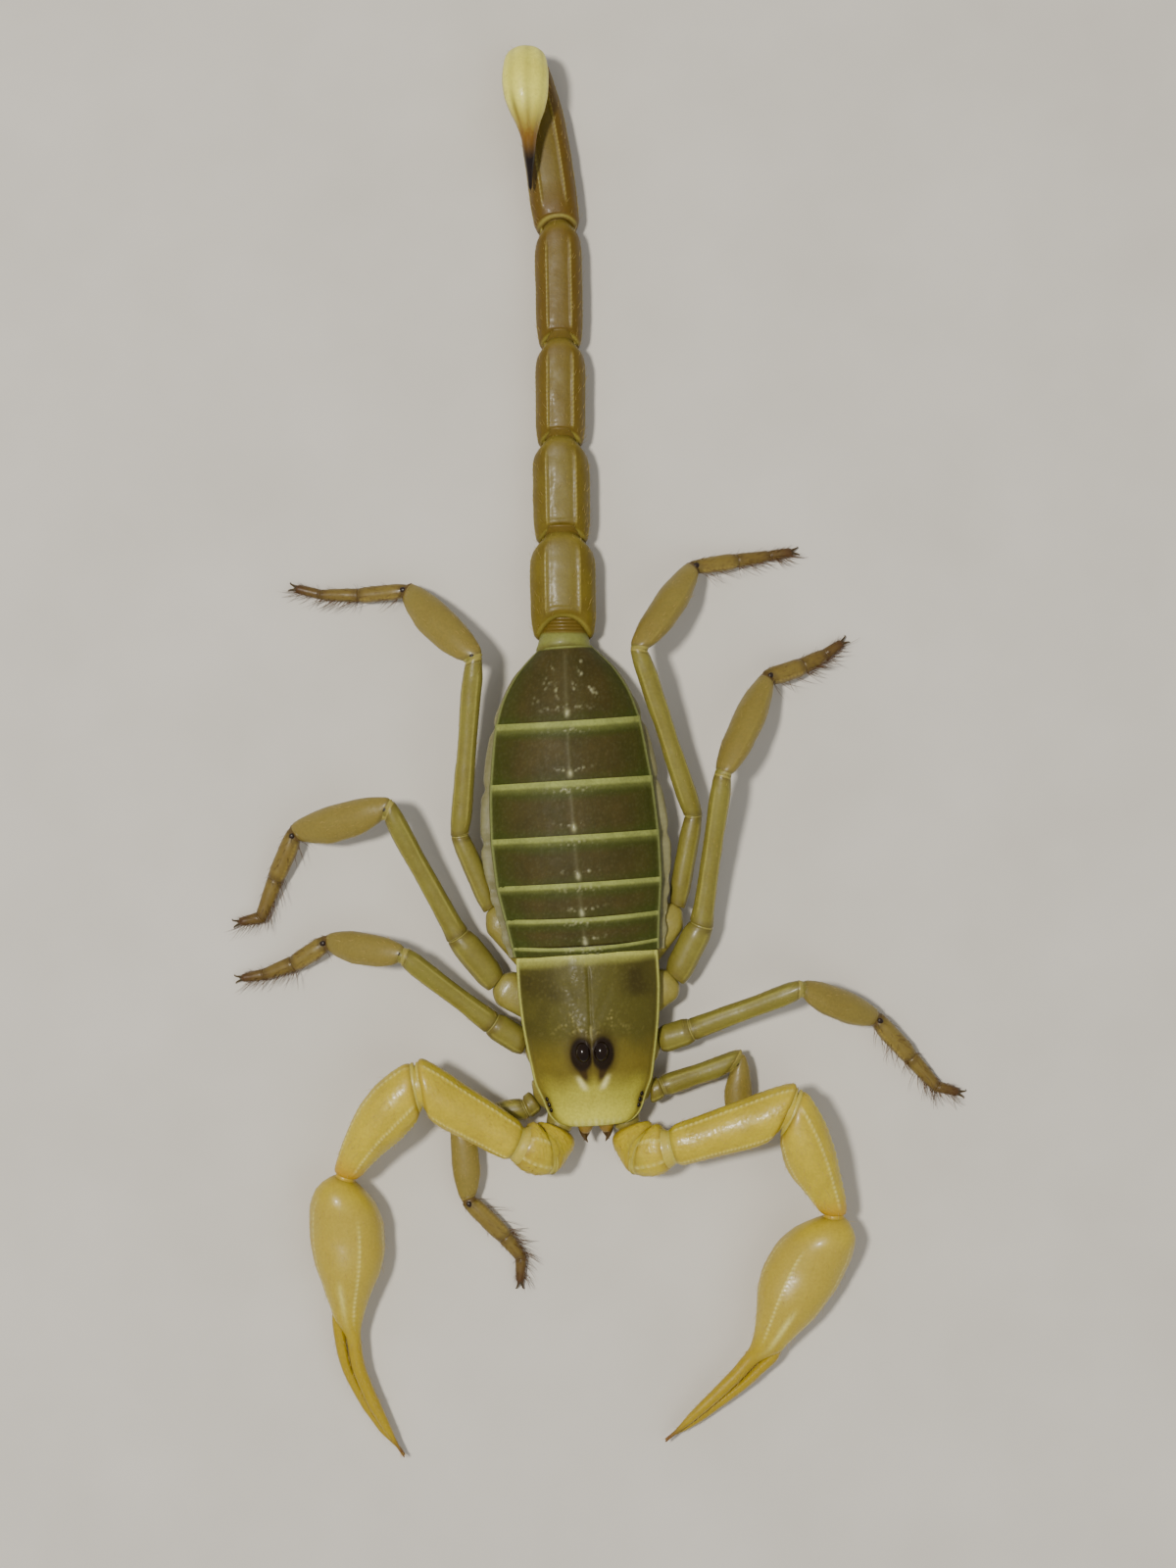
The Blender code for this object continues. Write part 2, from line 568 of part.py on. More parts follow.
def smooth_path(points, steps):
    """A curve through all the points, with this many steps between each two."""
    padded = [points[0] * 2 - points[1], *points, points[-1] * 2 - points[-2]]
    curve = []
    for a, b, c, d in zip(padded, padded[1:], padded[2:], padded[3:]):
        slope = c - a
        bend = a * 2 - b * 5 + c * 4 - d
        twist = b * 3 - a - c * 3 + d
        for i in range(steps):
            t = i / steps
            curve.append((b * 2 + slope * t + bend * t ** 2 + twist * t ** 3) / 2)
    return [*curve, points[-1].copy()]


def curve_rings(curve, half_widths, sides):
    """Round rings square to a curve, with half widths spread evenly along it."""
    unit = oval(sides)
    rings = []
    for i, point in enumerate(curve):
        along = (curve[min(i + 1, len(curve) - 1)] - curve[max(i - 1, 0)]).normalized()
        sideways = along.cross(UP).normalized()
        upward = sideways.cross(along)
        place = i / (len(curve) - 1) * (len(half_widths) - 1)
        low = min(int(place), len(half_widths) - 2)
        size = half_widths[low] + (half_widths[low + 1] - half_widths[low]) * (place - low)
        ring = []
        for x, y in unit:
            spot = point + sideways * (x * size) + upward * (y * size)
            spot.z = max(spot.z, FLOOR)
            ring.append(spot)
        rings.append(ring)
    return rings


def make_pedipalp(side):
    joints = [Vector(place) for place in PALP_JOINTS[side]]
    (reach, heading), *stretches = PALP_HANDS[side]
    wrist = joints[-1].copy()
    knuckle = plan_step(wrist, reach, heading, FINGER_HEIGHTS[0])
    name = "pedipalp_" + side
    radius = PALP_TROCHANTER_RADIUS
    pieces = [(outline, radius, radius * PALP_DEPTH, 0) for outline in PALP_TROCHANTER]
    rings = limb_rings(joints[:3], pieces, PALP_SIDES, (palp_root(side), joints[3]))
    add_loft(name + "_trochanter", rings, "palp")
    piece = (PALP_FEMUR, PALP_FEMUR_RADIUS, PALP_FEMUR_RADIUS * PALP_DEPTH, 0)
    add_loft(name + "_femur", limb_rings(joints[2:4], [piece], PALP_SIDES, (joints[1], joints[4])), "palp")
    piece = (PALP_PATELLA, PALP_PATELLA_RADIUS, PALP_PATELLA_RADIUS * PALP_PATELLA_DEPTH, 0)
    rings = limb_rings(joints[3:5], [piece], PALP_SIDES, (joints[2], knuckle))
    outside = (joints[4] - joints[3]).cross(UP).normalized() * -SIDES[side]
    for ring, (share, _) in zip(rings, PALP_PATELLA):
        bow = outside * (PALP_PATELLA_BOW[side] * math.sin(math.pi * share))
        ring[:] = [point + bow for point in ring]
    add_loft(name + "_patella", rings, "palp")

    fingers = [knuckle]
    for (step, turn), height in zip(stretches, FINGER_HEIGHTS[1:]):
        fingers.append(plan_step(fingers[-1], step, turn, height))
    palm_piece = (HAND, HAND_RADIUS, HAND_RADIUS * HAND_DEPTH, 0)
    palm = limb_rings([wrist, knuckle], [palm_piece], HAND_SIDES, (joints[3], None))
    palm = [lower_palm(ring, share) for ring, (share, _) in zip(palm, HAND)]
    inner = []
    outer = []
    for i, point in enumerate(fingers):
        along = fingers[min(i + 1, len(fingers) - 1)] - fingers[max(i - 1, 0)]
        away = Vector((-along.y, along.x, 0)).normalized() * SIDES[side]
        inner.append(point - away * FINGER_INWARD[i])
        outer.append(point + away * THUMB_OUT[i] - UP * THUMB_DROP[i])
    fixed = curve_rings(smooth_path(inner, FINGER_STEPS), FINGER_HALF_WIDTHS, HAND_SIDES)
    add_loft(name + "_hand", palm + fixed, "palp")
    thumb = curve_rings(smooth_path(outer, FINGER_STEPS), THUMB_HALF_WIDTHS, THUMB_SIDES)
    add_loft(name + "_finger", thumb, "finger")


def lower_palm(ring, share):
    """The hand hangs from the wrist and its swollen middle rests on the floor."""
    middle = sum(ring, Vector()) / len(ring)
    swell = math.sin(math.pi * min(1.0, share / HAND_SWELL_END)) ** 2
    drop = UP * ((HAND_HEIGHT - middle.z) * swell)
    lowered = []
    for point in ring:
        place = point + drop
        place.z = max(place.z, FLOOR)
        lowered.append(place)
    return lowered


def make_tail_segment(number):
    """One tail segment: its floor side flat, its joints cut square across the bends."""
    half_width = TAIL_HALF_WIDTHS[number - 1]
    half_height = TAIL_HEIGHTS[number - 1] / 2
    joints = [Vector((x, y, half_height)) for x, y in TAIL_JOINTS]
    outline = TAIL_LAST if number == 5 else TAIL_SEGMENT
    before = joints[number - 2] if number > 1 else joints[0] * 2 - joints[1]
    after = joints[number + 1] if number < 5 else None
    path = joints[number - 1:number + 1]
    if number == 1:
        path[0] = path[0] + (path[1] - path[0]).normalized() * CUT
    piece = (outline, half_width, half_height, 0)
    rings = limb_rings(path, [piece], TAIL_SIDES, (before, after), TAIL_SQUARENESS)
    largest_bow = TAIL_LAST_BOW if number == 5 else 0.0
    for ring, (share, size) in zip(rings, outline):
        sunk = half_height * (1 - size) * TAIL_SETTLE
        bow = largest_bow * math.sin(math.pi * share)
        ring[:] = [Vector((p.x + bow, p.y, max(FLOOR, p.z - sunk))) for p in ring]
    add_loft(f"tail_{number}", rings, "tail")


def make_telson():
    rings = []
    places = [Vector(row[:3]) for row in TELSON_RINGS]
    sideways = Vector((-1, 0, 0))
    for i, (place, row) in enumerate(zip(places, TELSON_RINGS)):
        along = (places[min(i + 1, len(places) - 1)] - places[max(i - 1, 0)]).normalized()
        upward = sideways.cross(along).normalized()
        half_width, half_depth = row[3:]
        ring = []
        for x, y in oval(TELSON_SIDES):
            ring.append(place + sideways * (x * half_width) + upward * (y * half_depth))
        rings.append(ring)
    add_loft("telson", rings, "telson")


def stand_on_box_centre():
    """Moves the whole model so that the origin lies under the middle of its box."""
    bpy.context.view_layer.update()
    corners = [obj.matrix_world @ Vector(c) for obj in bpy.data.objects for c in obj.bound_box]
    lows = [min(corner[axis] for corner in corners) for axis in range(3)]
    highs = [max(corner[axis] for corner in corners) for axis in range(3)]
    middle = Vector(((lows[0] + highs[0]) / 2, (lows[1] + highs[1]) / 2, lows[2]))
    for obj in bpy.data.objects:
        obj.location -= middle


clear_scene()
make_carapace()
make_chest()
make_trunk()
for tergite in range(1, 8):
    make_tergite(tergite)
for segment in range(1, 6):
    make_tail_segment(segment)
make_telson()
for body_side in SIDES:
    make_median_eye(body_side)
    make_chelicera(body_side)
    make_pectine(body_side)
    make_pedipalp(body_side)
    for leg_pair in range(1, 5):
        make_leg(leg_pair, body_side)
stand_on_box_centre()
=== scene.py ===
"""The looks of a giant sand scorpion: cuticle, keels, eyes, claws, bristles and soft skin.

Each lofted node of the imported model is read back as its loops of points, and a finer surface is drawn
through them. Lengths are in millimetres. +Z is up, the head is towards -Y and the animal's left is
towards +X, as in the frame. Body coordinates are (to the left, towards the tail, up), turned with the
carapace. Marks are colour shares held on the points, which the materials read as attributes.
"""

import math
from itertools import product
from typing import NamedTuple

import bmesh
import bpy
import mathutils
import numpy as np
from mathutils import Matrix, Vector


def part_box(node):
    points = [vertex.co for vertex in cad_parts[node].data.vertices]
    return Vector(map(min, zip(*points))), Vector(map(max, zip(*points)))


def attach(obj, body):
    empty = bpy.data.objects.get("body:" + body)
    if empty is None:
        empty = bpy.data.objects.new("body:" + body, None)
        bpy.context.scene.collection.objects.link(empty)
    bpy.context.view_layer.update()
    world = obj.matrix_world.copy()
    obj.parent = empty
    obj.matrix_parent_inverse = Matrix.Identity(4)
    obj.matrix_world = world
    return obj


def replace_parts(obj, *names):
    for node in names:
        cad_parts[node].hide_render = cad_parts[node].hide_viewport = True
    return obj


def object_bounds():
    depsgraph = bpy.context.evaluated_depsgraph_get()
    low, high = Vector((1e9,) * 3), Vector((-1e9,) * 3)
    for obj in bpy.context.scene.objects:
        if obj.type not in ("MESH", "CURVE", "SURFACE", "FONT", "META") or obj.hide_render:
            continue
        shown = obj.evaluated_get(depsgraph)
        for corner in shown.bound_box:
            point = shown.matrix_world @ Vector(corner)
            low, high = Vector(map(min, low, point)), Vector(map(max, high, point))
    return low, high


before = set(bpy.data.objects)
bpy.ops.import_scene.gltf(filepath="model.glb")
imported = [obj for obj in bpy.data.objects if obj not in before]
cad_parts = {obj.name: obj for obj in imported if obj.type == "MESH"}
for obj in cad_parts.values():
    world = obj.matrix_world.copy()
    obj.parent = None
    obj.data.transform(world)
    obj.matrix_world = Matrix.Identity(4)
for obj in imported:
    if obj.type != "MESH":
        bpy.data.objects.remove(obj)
cad_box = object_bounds()

MM = 0.001
UP = np.array((0.0, 0.0, 1.0))
SIDES = {"left": 1, "right": -1}
SEED = 7
random = np.random.default_rng(SEED)

WELD = 0.0004  # points of a node that lie this near each other are one
FLAT = 0.005  # how far the points of a flat end may be out of its plane
# How many points each loop of a node has, by the last word of its name or else the first
LOOP_SIDES = {"carapace": 34, "tergite": 22, "pectine": 8, "chelicera": 10, "leg": 8, "tail": 12,
              "telson": 12, "pedipalp": 10, "hand": 12, "finger": 8}

# Camera: looking straight down, with the photograph's long side along the animal
CAMERA_HEIGHT = 184.0
CAMERA_PLACE = (-0.642, -1.507)
CAMERA_LENS = 72.45

# Places to read the nodes from: the end that is nearer to one of these comes first
HEAD_END = np.array((0.0, -60.0, 2.0))
BODY_MIDDLE = np.array((-0.9, -16.0, 2.0))
WAIST = np.array((-0.6697, -11.635, 0.0))  # under the middle of the carapace's rear edge


# Numbers


def unit(vectors):
    return vectors / np.maximum(np.linalg.norm(vectors, axis=-1, keepdims=True), 1e-12)


def ease(low, high, values):
    """0 below low, 1 above high and a smooth step between them."""
    share = np.clip((values - low) / (high - low), 0, 1)
    return share * share * (3 - 2 * share)


def bell(values, width):
    return np.exp(-((values / width) ** 2))


def curve(places, knots, values):
    """Smooth values through knots, with no overshoot. values may hold several numbers for each knot."""
    knots = np.asarray(knots, float)
    values = np.asarray(values, float)
    places = np.asarray(places, float)
    wide = (1,) * (values.ndim - 1)
    steps = np.diff(knots)
    rises = np.diff(values, axis=0) / steps.reshape(-1, *wide)
    slopes = np.empty_like(values)
    slopes[0] = rises[0]
    slopes[-1] = rises[-1]
    same = rises[:-1] * rises[1:] > 0
    total = np.where(same, rises[:-1] + rises[1:], 1.0)
    slopes[1:-1] = np.where(same, 2 * rises[:-1] * rises[1:] / total, 0.0)
    k = np.clip(np.searchsorted(knots, places) - 1, 0, len(steps) - 1)
    t = np.reshape(np.clip((places - knots[k]) / steps[k], 0, 1), (*places.shape, *wide))
    step = np.reshape(steps[k], (*places.shape, *wide))
    start = values[k] * (1 + 2 * t) * (1 - t) ** 2 + slopes[k] * step * t * (1 - t) ** 2
    return start + values[k + 1] * t * t * (3 - 2 * t) - slopes[k + 1] * step * t * t * (1 - t)


def scatter(cells, seed):
    """A repeatable number between 0 and 1 for each whole-numbered cell."""
    mixed = cells[..., 0] * 73856093 ^ cells[..., 1] * 19349663 ^ cells[..., 2] * 83492791 ^ seed * 2654435761
    mixed = (mixed ^ (mixed >> 13)) * 1274126177 & 0x7FFFFFFF
    return ((mixed ^ (mixed >> 16)) & 0xFFFF) / 65535.0


def swell(points, size, seed=1):
    """Smooth random values between -1 and 1 that change over about one size."""
    cells = np.floor(points / size).astype(np.int64)
    inside = points / size - cells
    inside = inside * inside * (3 - 2 * inside)
    total = np.zeros(points.shape[:-1])
    for corner in product((0, 1), repeat=3):
        weight = np.prod(np.where(corner, inside, 1 - inside), axis=-1)
        total += weight * scatter(cells + corner, seed)
    return total * 2 - 1


def pebbles(points, size, share=0.45, seed=3):
    """Round grains, 0 to 1 high, one to about every cell of this size."""
    cells = np.floor(points / size).astype(np.int64)
    height = np.zeros(points.shape[:-1])
    for step in product((-1, 0, 1), repeat=3):
        cell = cells + step
        heart = np.stack([scatter(cell, seed + k) for k in range(3)], axis=-1)
        away = np.linalg.norm(points / size - cell - heart, axis=-1)
        height = np.maximum(height, 1 - (away / share) ** 2)
    return height


# Meshes


def inside_out(block, quads):
    """Whether the faces of a closed grid of points look inwards."""
    a, b, c, d = (block[quads[:, k]] - block.mean(axis=0) for k in range(4))
    volume = np.einsum("ij,ij->", a, np.cross(b, c)) + np.einsum("ij,ij->", a, np.cross(c, d))
    return volume < 0


def end_faces(index, plate):
    """The faces that close a grid's first and last row: straight across on a plate, in a point on a tube."""
    columns = index.shape[1]
    if plate:
        top, under = slice(0, columns // 2), slice(columns - 1, columns // 2 - 1, -1)
        first, last = (np.stack([row[top][:-1], row[under][:-1], row[under][1:], row[top][1:]], axis=-1)
                       for row in (index[0], index[-1]))
        return first, last[:, ::-1]
    after = np.roll(index, -1, axis=1)
    tip = np.full(columns, index.size)
    return np.stack([after[0], index[0], tip], axis=-1), np.stack([index[-1], after[-1], tip + 1], axis=-1)


def closed_mesh(name, grids, plate=False):
    """One mesh of several closed tubes. Each grid begins with (points by row and column, {mark: values}).

    The ends of a tube meet in a point. A plate's rows run over its top and back along its underside, and
    its ends are closed straight across.
    """
    points, loops, counts, marks = [], [], [], {}
    start = 0
    for grid, inks, *_ in grids:
        index = np.arange(grid[..., 0].size).reshape(grid.shape[:2])
        after = np.roll(index, -1, axis=1)
        quads = np.stack([index[:-1], after[:-1], after[1:], index[1:]], axis=-1).reshape(-1, 4)
        block = grid.reshape(-1, 3)
        if not plate:
            block = np.concatenate([block, grid[:1].mean(axis=1), grid[-1:].mean(axis=1)])
        turn = -1 if inside_out(block, quads) else 1
        for faces in (quads, *end_faces(index, plate)):
            loops.append(start + faces[:, ::turn].reshape(-1))
            counts.append(np.full(len(faces), faces.shape[1]))
        for key, values in inks.items():
            values = np.broadcast_to(values, index.shape)
            ends = [] if plate else [values[0].mean(), values[-1].mean()]
            marks.setdefault(key, []).append((start, np.concatenate([values.reshape(-1), ends])))
        points.append(block)
        start += len(block)
    return fill_mesh(name, np.concatenate(points), np.concatenate(loops), np.concatenate(counts), marks)


def fill_mesh(name, points, loops, counts, marks):
    mesh = bpy.data.meshes.new(name)
    mesh.vertices.add(len(points))
    mesh.vertices.foreach_set("co", (points * MM).reshape(-1))
    mesh.loops.add(len(loops))
    mesh.loops.foreach_set("vertex_index", loops)
    mesh.polygons.add(len(counts))
    mesh.polygons.foreach_set("loop_start", np.cumsum(counts) - counts)
    mesh.update(calc_edges=True)
    mesh.shade_smooth()
    for key in marks:
        values = np.zeros(len(points), np.float32)
        for first, block in marks[key]:
            values[first:first + len(block)] = block
        mesh.attributes.new(key, "FLOAT", "POINT").data.foreach_set("value", np.clip(values, 0, 1))
    return mesh


def place_mesh(mesh, look, slot=None):
    """An object for a mesh, which goes with the animal's one body. slot is not used."""
    obj = bpy.data.objects.new(mesh.name, mesh)
    bpy.context.collection.objects.link(obj)
    mesh.materials.append(MATERIALS[look])
    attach(obj, "root")
    slot or look
    return obj


def dress(node, grids, look, slot=None, ending="cuticle", plate=False):
    """The piece that stands for a node, named after it."""
    obj = place_mesh(closed_mesh(f"{node}_{ending}", grids, plate), look, slot)
    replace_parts(obj, node)


def facing(points):
    """Unit normals of a grid of points that is closed around its columns, pointing outwards."""
    along = np.gradient(points, axis=0)
    around = np.roll(points, -1, axis=1) - np.roll(points, 1, axis=1)
    normals = unit(np.cross(around, along))
    outward = points - points.mean(axis=1, keepdims=True)
    return normals * np.sign((normals * outward).sum(axis=-1).mean() + 1e-9)


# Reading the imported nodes


def steps_from(cap, near):
    """How many edges lie between each point and a cap."""
    level = np.full(len(near), -1)
    level[list(cap)] = 0
    front = list(cap)
    while front:
        after = sorted({j for i in front for j in near[i] if level[j] < 0})
        level[after] = level[front[0]] + 1
        front = after
    return level


def loops_between(caps, near, sides):
    """Which loop each point is in, counted from one cap. One loop may have lost a point that lay flat."""
    for cap in caps:
        level = steps_from(cap, near)
        last = level.max()
        counts = np.bincount(level)
        if (counts == sides).all():
            return level, None
        if (counts[:-1] == sides).all() and counts[-1] == sides - 1:
            return level, last
        for other in caps:
            back = steps_from(other, near)
            for short in range(1, last) if back.max() == last else ():
                mixed = np.where(level < short, level, np.where(back < last - short, last - back, short))
                counts = np.bincount(mixed, minlength=last + 1)
                counts[short] += 1
                if (counts == sides).all():
                    return mixed, short
    return None, None


def node_loops(name, start):
    """The loops of points that a lofted node is made of, from its end nearer to start."""
    words = name.split("_")
    sides = LOOP_SIDES.get(words[-1]) or LOOP_SIDES[words[0]]
    mesh = bmesh.new()
    mesh.from_mesh(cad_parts[name].data)
    bmesh.ops.remove_doubles(mesh, verts=mesh.verts, dist=WELD * MM)
    mesh.normal_update()
    mesh.verts.index_update()
    points = np.array([vert.co for vert in mesh.verts]) / MM
    near = [[edge.other_vert(vert).index for edge in vert.link_edges] for vert in mesh.verts]
    caps = set()
    for face in mesh.faces:
        normal = np.array(face.normal)
        level = np.flatnonzero(abs((points - points[face.verts[0].index]) @ normal) < FLAT)
        if len(level) == sides:
            caps.add((round(abs(normal[2]), 2), tuple(level.tolist())))
    mesh.free()
    index, short = loops_between([cap for _, cap in sorted(caps)], near, sides)
    if index is None:
        raise ValueError(f"{name} is no loft of {sides} sides")
    loops = []
    for k in range(index.max() + 1):
        loop = points[index == k]
        if k == short:
            loop = np.concatenate([loop, loop.mean(axis=0, keepdims=True)])
        loops.append(loop)
    loops = np.array(loops)
    ends = [np.linalg.norm(loops[k].mean(axis=0) - start) for k in (0, -1)]
    return loops if ends[0] < ends[1] else loops[::-1]


class Loft:
    """A line of sections: centres, axes, half sizes and how far each section leans along the line."""

    def __init__(self, centres, tangents, across, halves, leans):
        self.centres = centres
        self.tangents = tangents
        self.across = across
        self.halves = halves
        self.leans = leans
        steps = np.linalg.norm(np.diff(centres, axis=0), axis=1)
        self.arc = np.concatenate([[0.0], np.cumsum(steps)])
        self.length = self.arc[-1]

    @classmethod
    def from_loops(cls, loops, straight=True, side=None):
        """Through loops of points. A straight loft has one direction, and its axes follow its broad side."""
        means = loops.mean(axis=1)
        if straight:
            tangents = np.repeat(unit(means[-1:] - means[:1]), len(means), axis=0)
        else:
            tangents = unit(np.gradient(means, axis=0))
        if side is None:
            across = unit(np.cross(tangents, UP))
        else:
            across = unit(side - tangents * (tangents @ side)[:, None])
        over = np.cross(across, tangents)
        offsets = loops - means[:, None]
        flat = np.stack([np.einsum("ijk,ik->ij", offsets, axis) for axis in (across, over)], axis=-1)
        if straight:
            broad = flat[len(flat) // 2]
            sizes, turns = np.linalg.eigh(broad.T @ broad)
            if sizes[1] > 1.3 * sizes[0]:
                main = turns[:, 1] * np.sign(turns[0, 1])
                across, over = across * main[0] + over * main[1], over * main[0] - across * main[1]
                flat = flat @ np.array([[main[0], -main[1]], [main[1], main[0]]])
        highs = flat.max(axis=1)
        lows = flat.min(axis=1)
        middles = (highs + lows) / 2
        centres = means + across * middles[:, :1] + over * middles[:, 1:]
        ahead = np.einsum("ijk,ik->ij", offsets, tangents)
        leans = np.array([np.linalg.lstsq(spread, lean, rcond=None)[0] for spread, lean in zip(flat, ahead)])
        return cls(centres, tangents, across, (highs - lows) / 2, leans)

    @classmethod
    def through(cls, stations):
        """Through a list of (x, y, z, half width, half height)."""
        stations = np.array(stations, float)
        tangents = unit(np.gradient(stations[:, :3], axis=0))
        level = np.where(abs(tangents[:, 2:]) > 0.95, (0.0, 1.0, 0.0), UP)
        across = unit(np.cross(tangents, level))
        return cls(stations[:, :3], tangents, across, stations[:, 3:], np.zeros((len(stations), 2)))

    def at(self, place, table):
        return curve(place, self.arc, table)

    def spot(self, place):
        """The centre, half sizes and the axes along, across and over the line at one place."""
        along, across = unit(self.at(place, self.tangents)), unit(self.at(place, self.across))
        centre, halves = self.at(place, self.centres), self.at(place, self.halves)
        return centre, halves, along, across, np.cross(across, along)

    def surface(self, places, columns, square=2.0, size=1.0):
        """Points at these places along the line, and the angle round it of each column."""
        angles = np.arange(columns) * (2 * math.pi / columns) - math.pi
        x = np.sign(np.cos(angles)) * abs(np.cos(angles)) ** (2 / square)
        y = np.sign(np.sin(angles)) * abs(np.sin(angles)) ** (2 / square)
        centres, leans = self.at(places, self.centres), self.at(places, self.leans)
        tangents, across = unit(self.at(places, self.tangents)), unit(self.at(places, self.across))
        over = np.cross(across, tangents)
        halves = self.at(places, self.halves) * np.reshape(size, (-1, 1))
        wide = halves[:, :1] * x
        high = halves[:, 1:] * y
        lean = leans[:, :1] * wide + leans[:, 1:] * high
        points = centres[:, None] + across[:, None] * wide[..., None] + over[:, None] * high[..., None]
        return points + tangents[:, None] * lean[..., None], angles


def rows_of(length, step, lip):
    """Places along a piece: evenly spread, and closer where its ends are rounded over."""
    ends = lip * np.array((0.0, 0.08, 0.25, 0.55, 0.9))
    inner = np.linspace(lip * 1.2, length - lip * 1.2, max(3, int(length / step)))
    return np.concatenate([ends, inner, length - ends[::-1]])


def rounded(places, length, lip, end, far):
    """Share of full size at each place of a piece with rounded ends. far is (lip, end) of the far end."""
    sizes = np.ones_like(places)
    for away, (reach, least) in ((places, (lip, end)), (length - places, far or (lip, end))):
        near = np.clip(away / reach, 0, 1)
        sizes = np.minimum(sizes, least + (1 - least) * np.sqrt(1 - (1 - near) ** 2))
    return sizes


# Materials


def linear(colour):
    """A colour given as it looks on a screen, 0 to 255, as light."""
    shares = np.array(colour, float) / 255
    light = np.where(shares < 0.04045, shares / 12.92, ((shares + 0.055) / 1.055) ** 2.4)
    return (*light.tolist(), 1.0)


class Shader:
    """A material and short ways to add nodes to it."""

    def __init__(self, name):
        self.material = bpy.data.materials.new(name)
        self.material.use_nodes = True
        self.tree = self.material.node_tree
        self.main = self.tree.nodes["Principled BSDF"]
        self.place = self.add("ShaderNodeTexCoord").outputs["Object"]

    def add(self, kind, **settings):
        node = self.tree.nodes.new(kind)
        for key, value in settings.items():
            setattr(node, key, value)
        return node

    def join(self, value, socket):
        if isinstance(value, bpy.types.NodeSocket):
            self.tree.links.new(value, socket)
        else:
            socket.default_value = value

    def noise(self, size, detail=3.0, rough=0.55):
        node = self.add("ShaderNodeTexNoise")
        self.join(self.place, node.inputs["Vector"])
        node.inputs["Scale"].default_value = 1 / (size * MM)
        node.inputs["Detail"].default_value = detail
        node.inputs["Roughness"].default_value = rough
        return node.outputs["Fac"]

    def cells(self, size):
        node = self.add("ShaderNodeTexVoronoi")
        self.join(self.place, node.inputs["Vector"])
        node.inputs["Scale"].default_value = 1 / (size * MM)
        return node.outputs["Distance"]

    def spread(self, value, low, high, to_low=0.0, to_high=1.0):
        node = self.add("ShaderNodeMapRange")
        names = ("Value", "From Min", "From Max", "To Min", "To Max")
        for key, number in zip(names, (value, low, high, to_low, to_high)):
            self.join(number, node.inputs[key])
        return node.outputs["Result"]

    def math(self, operation, first, second):
        node = self.add("ShaderNodeMath", operation=operation, use_clamp=operation != "ADD")
        self.join(first, node.inputs[0])
        self.join(second, node.inputs[1])
        return node.outputs["Value"]

    def mix(self, share, first, second, blend="MIX"):
        node = self.add("ShaderNodeMix", data_type="RGBA", blend_type=blend)
        self.join(share, node.inputs["Factor"])
        self.join(first, node.inputs[6])
        self.join(second, node.inputs[7])
        return node.outputs[2]

    def mark(self, name):
        return self.add("ShaderNodeAttribute", attribute_name=name).outputs["Fac"]


def cuticle(name, ground, patch, marks, grain=0.09, relief=0.006, gloss=(0.3, 0.45), flesh=0.2, coat=0.12,
            shine=0.4, shiny=()):
    """Glossy cuticle: two colours in soft patches, coloured marks, a fine grain and an uneven shine.

    Each mark named in shiny makes its places glossier, and a mark named twice does so twice.
    """
    shader = Shader(name)
    broad = shader.spread(shader.noise(1.6, 4.0), 0.38, 0.66)
    fine = shader.noise(0.16, 3.0)
    colour = shader.mix(broad, linear(ground), linear(patch))
    for key, tint in marks.items():
        share = shader.math("MULTIPLY", shader.mark(key), shader.spread(fine, 0.2, 0.6, 0.9, 1.06))
        colour = shader.mix(share, colour, linear(tint))
    shade = shader.spread(fine, 0.3, 0.7, 0.9, 1.06)
    grey = shader.add("ShaderNodeCombineColor")
    for socket in grey.inputs[:3]:
        shader.join(shade, socket)
    colour = shader.mix(1.0, colour, grey.outputs["Color"], "MULTIPLY")
    shader.join(colour, shader.main.inputs["Base Color"])
    rough = shader.spread(shader.noise(0.45, 4.0), 0.3, 0.7, *gloss)
    for key in shiny:
        rough = shader.math("MULTIPLY", rough, shader.spread(shader.mark(key), 0.0, 1.0, 1.0, 0.35))
    shader.join(rough, shader.main.inputs["Roughness"])
    height = shader.math("ADD", shader.cells(grain), shader.noise(grain * 3, 5.0))
    bump = shader.add("ShaderNodeBump")
    bump.inputs["Strength"].default_value = 0.8
    bump.inputs["Distance"].default_value = relief * MM
    shader.join(height, bump.inputs["Height"])
    shader.join(bump.outputs["Normal"], shader.main.inputs["Normal"])
    main = shader.main.inputs
    main["Specular IOR Level"].default_value = shine
    main["Subsurface Weight"].default_value = flesh
    main["Subsurface Radius"].default_value = (1.0, 0.75, 0.3)
    main["Subsurface Scale"].default_value = 0.45 * MM
    main["Coat Weight"].default_value = coat
    main["Coat Roughness"].default_value = 0.16
    return shader.material


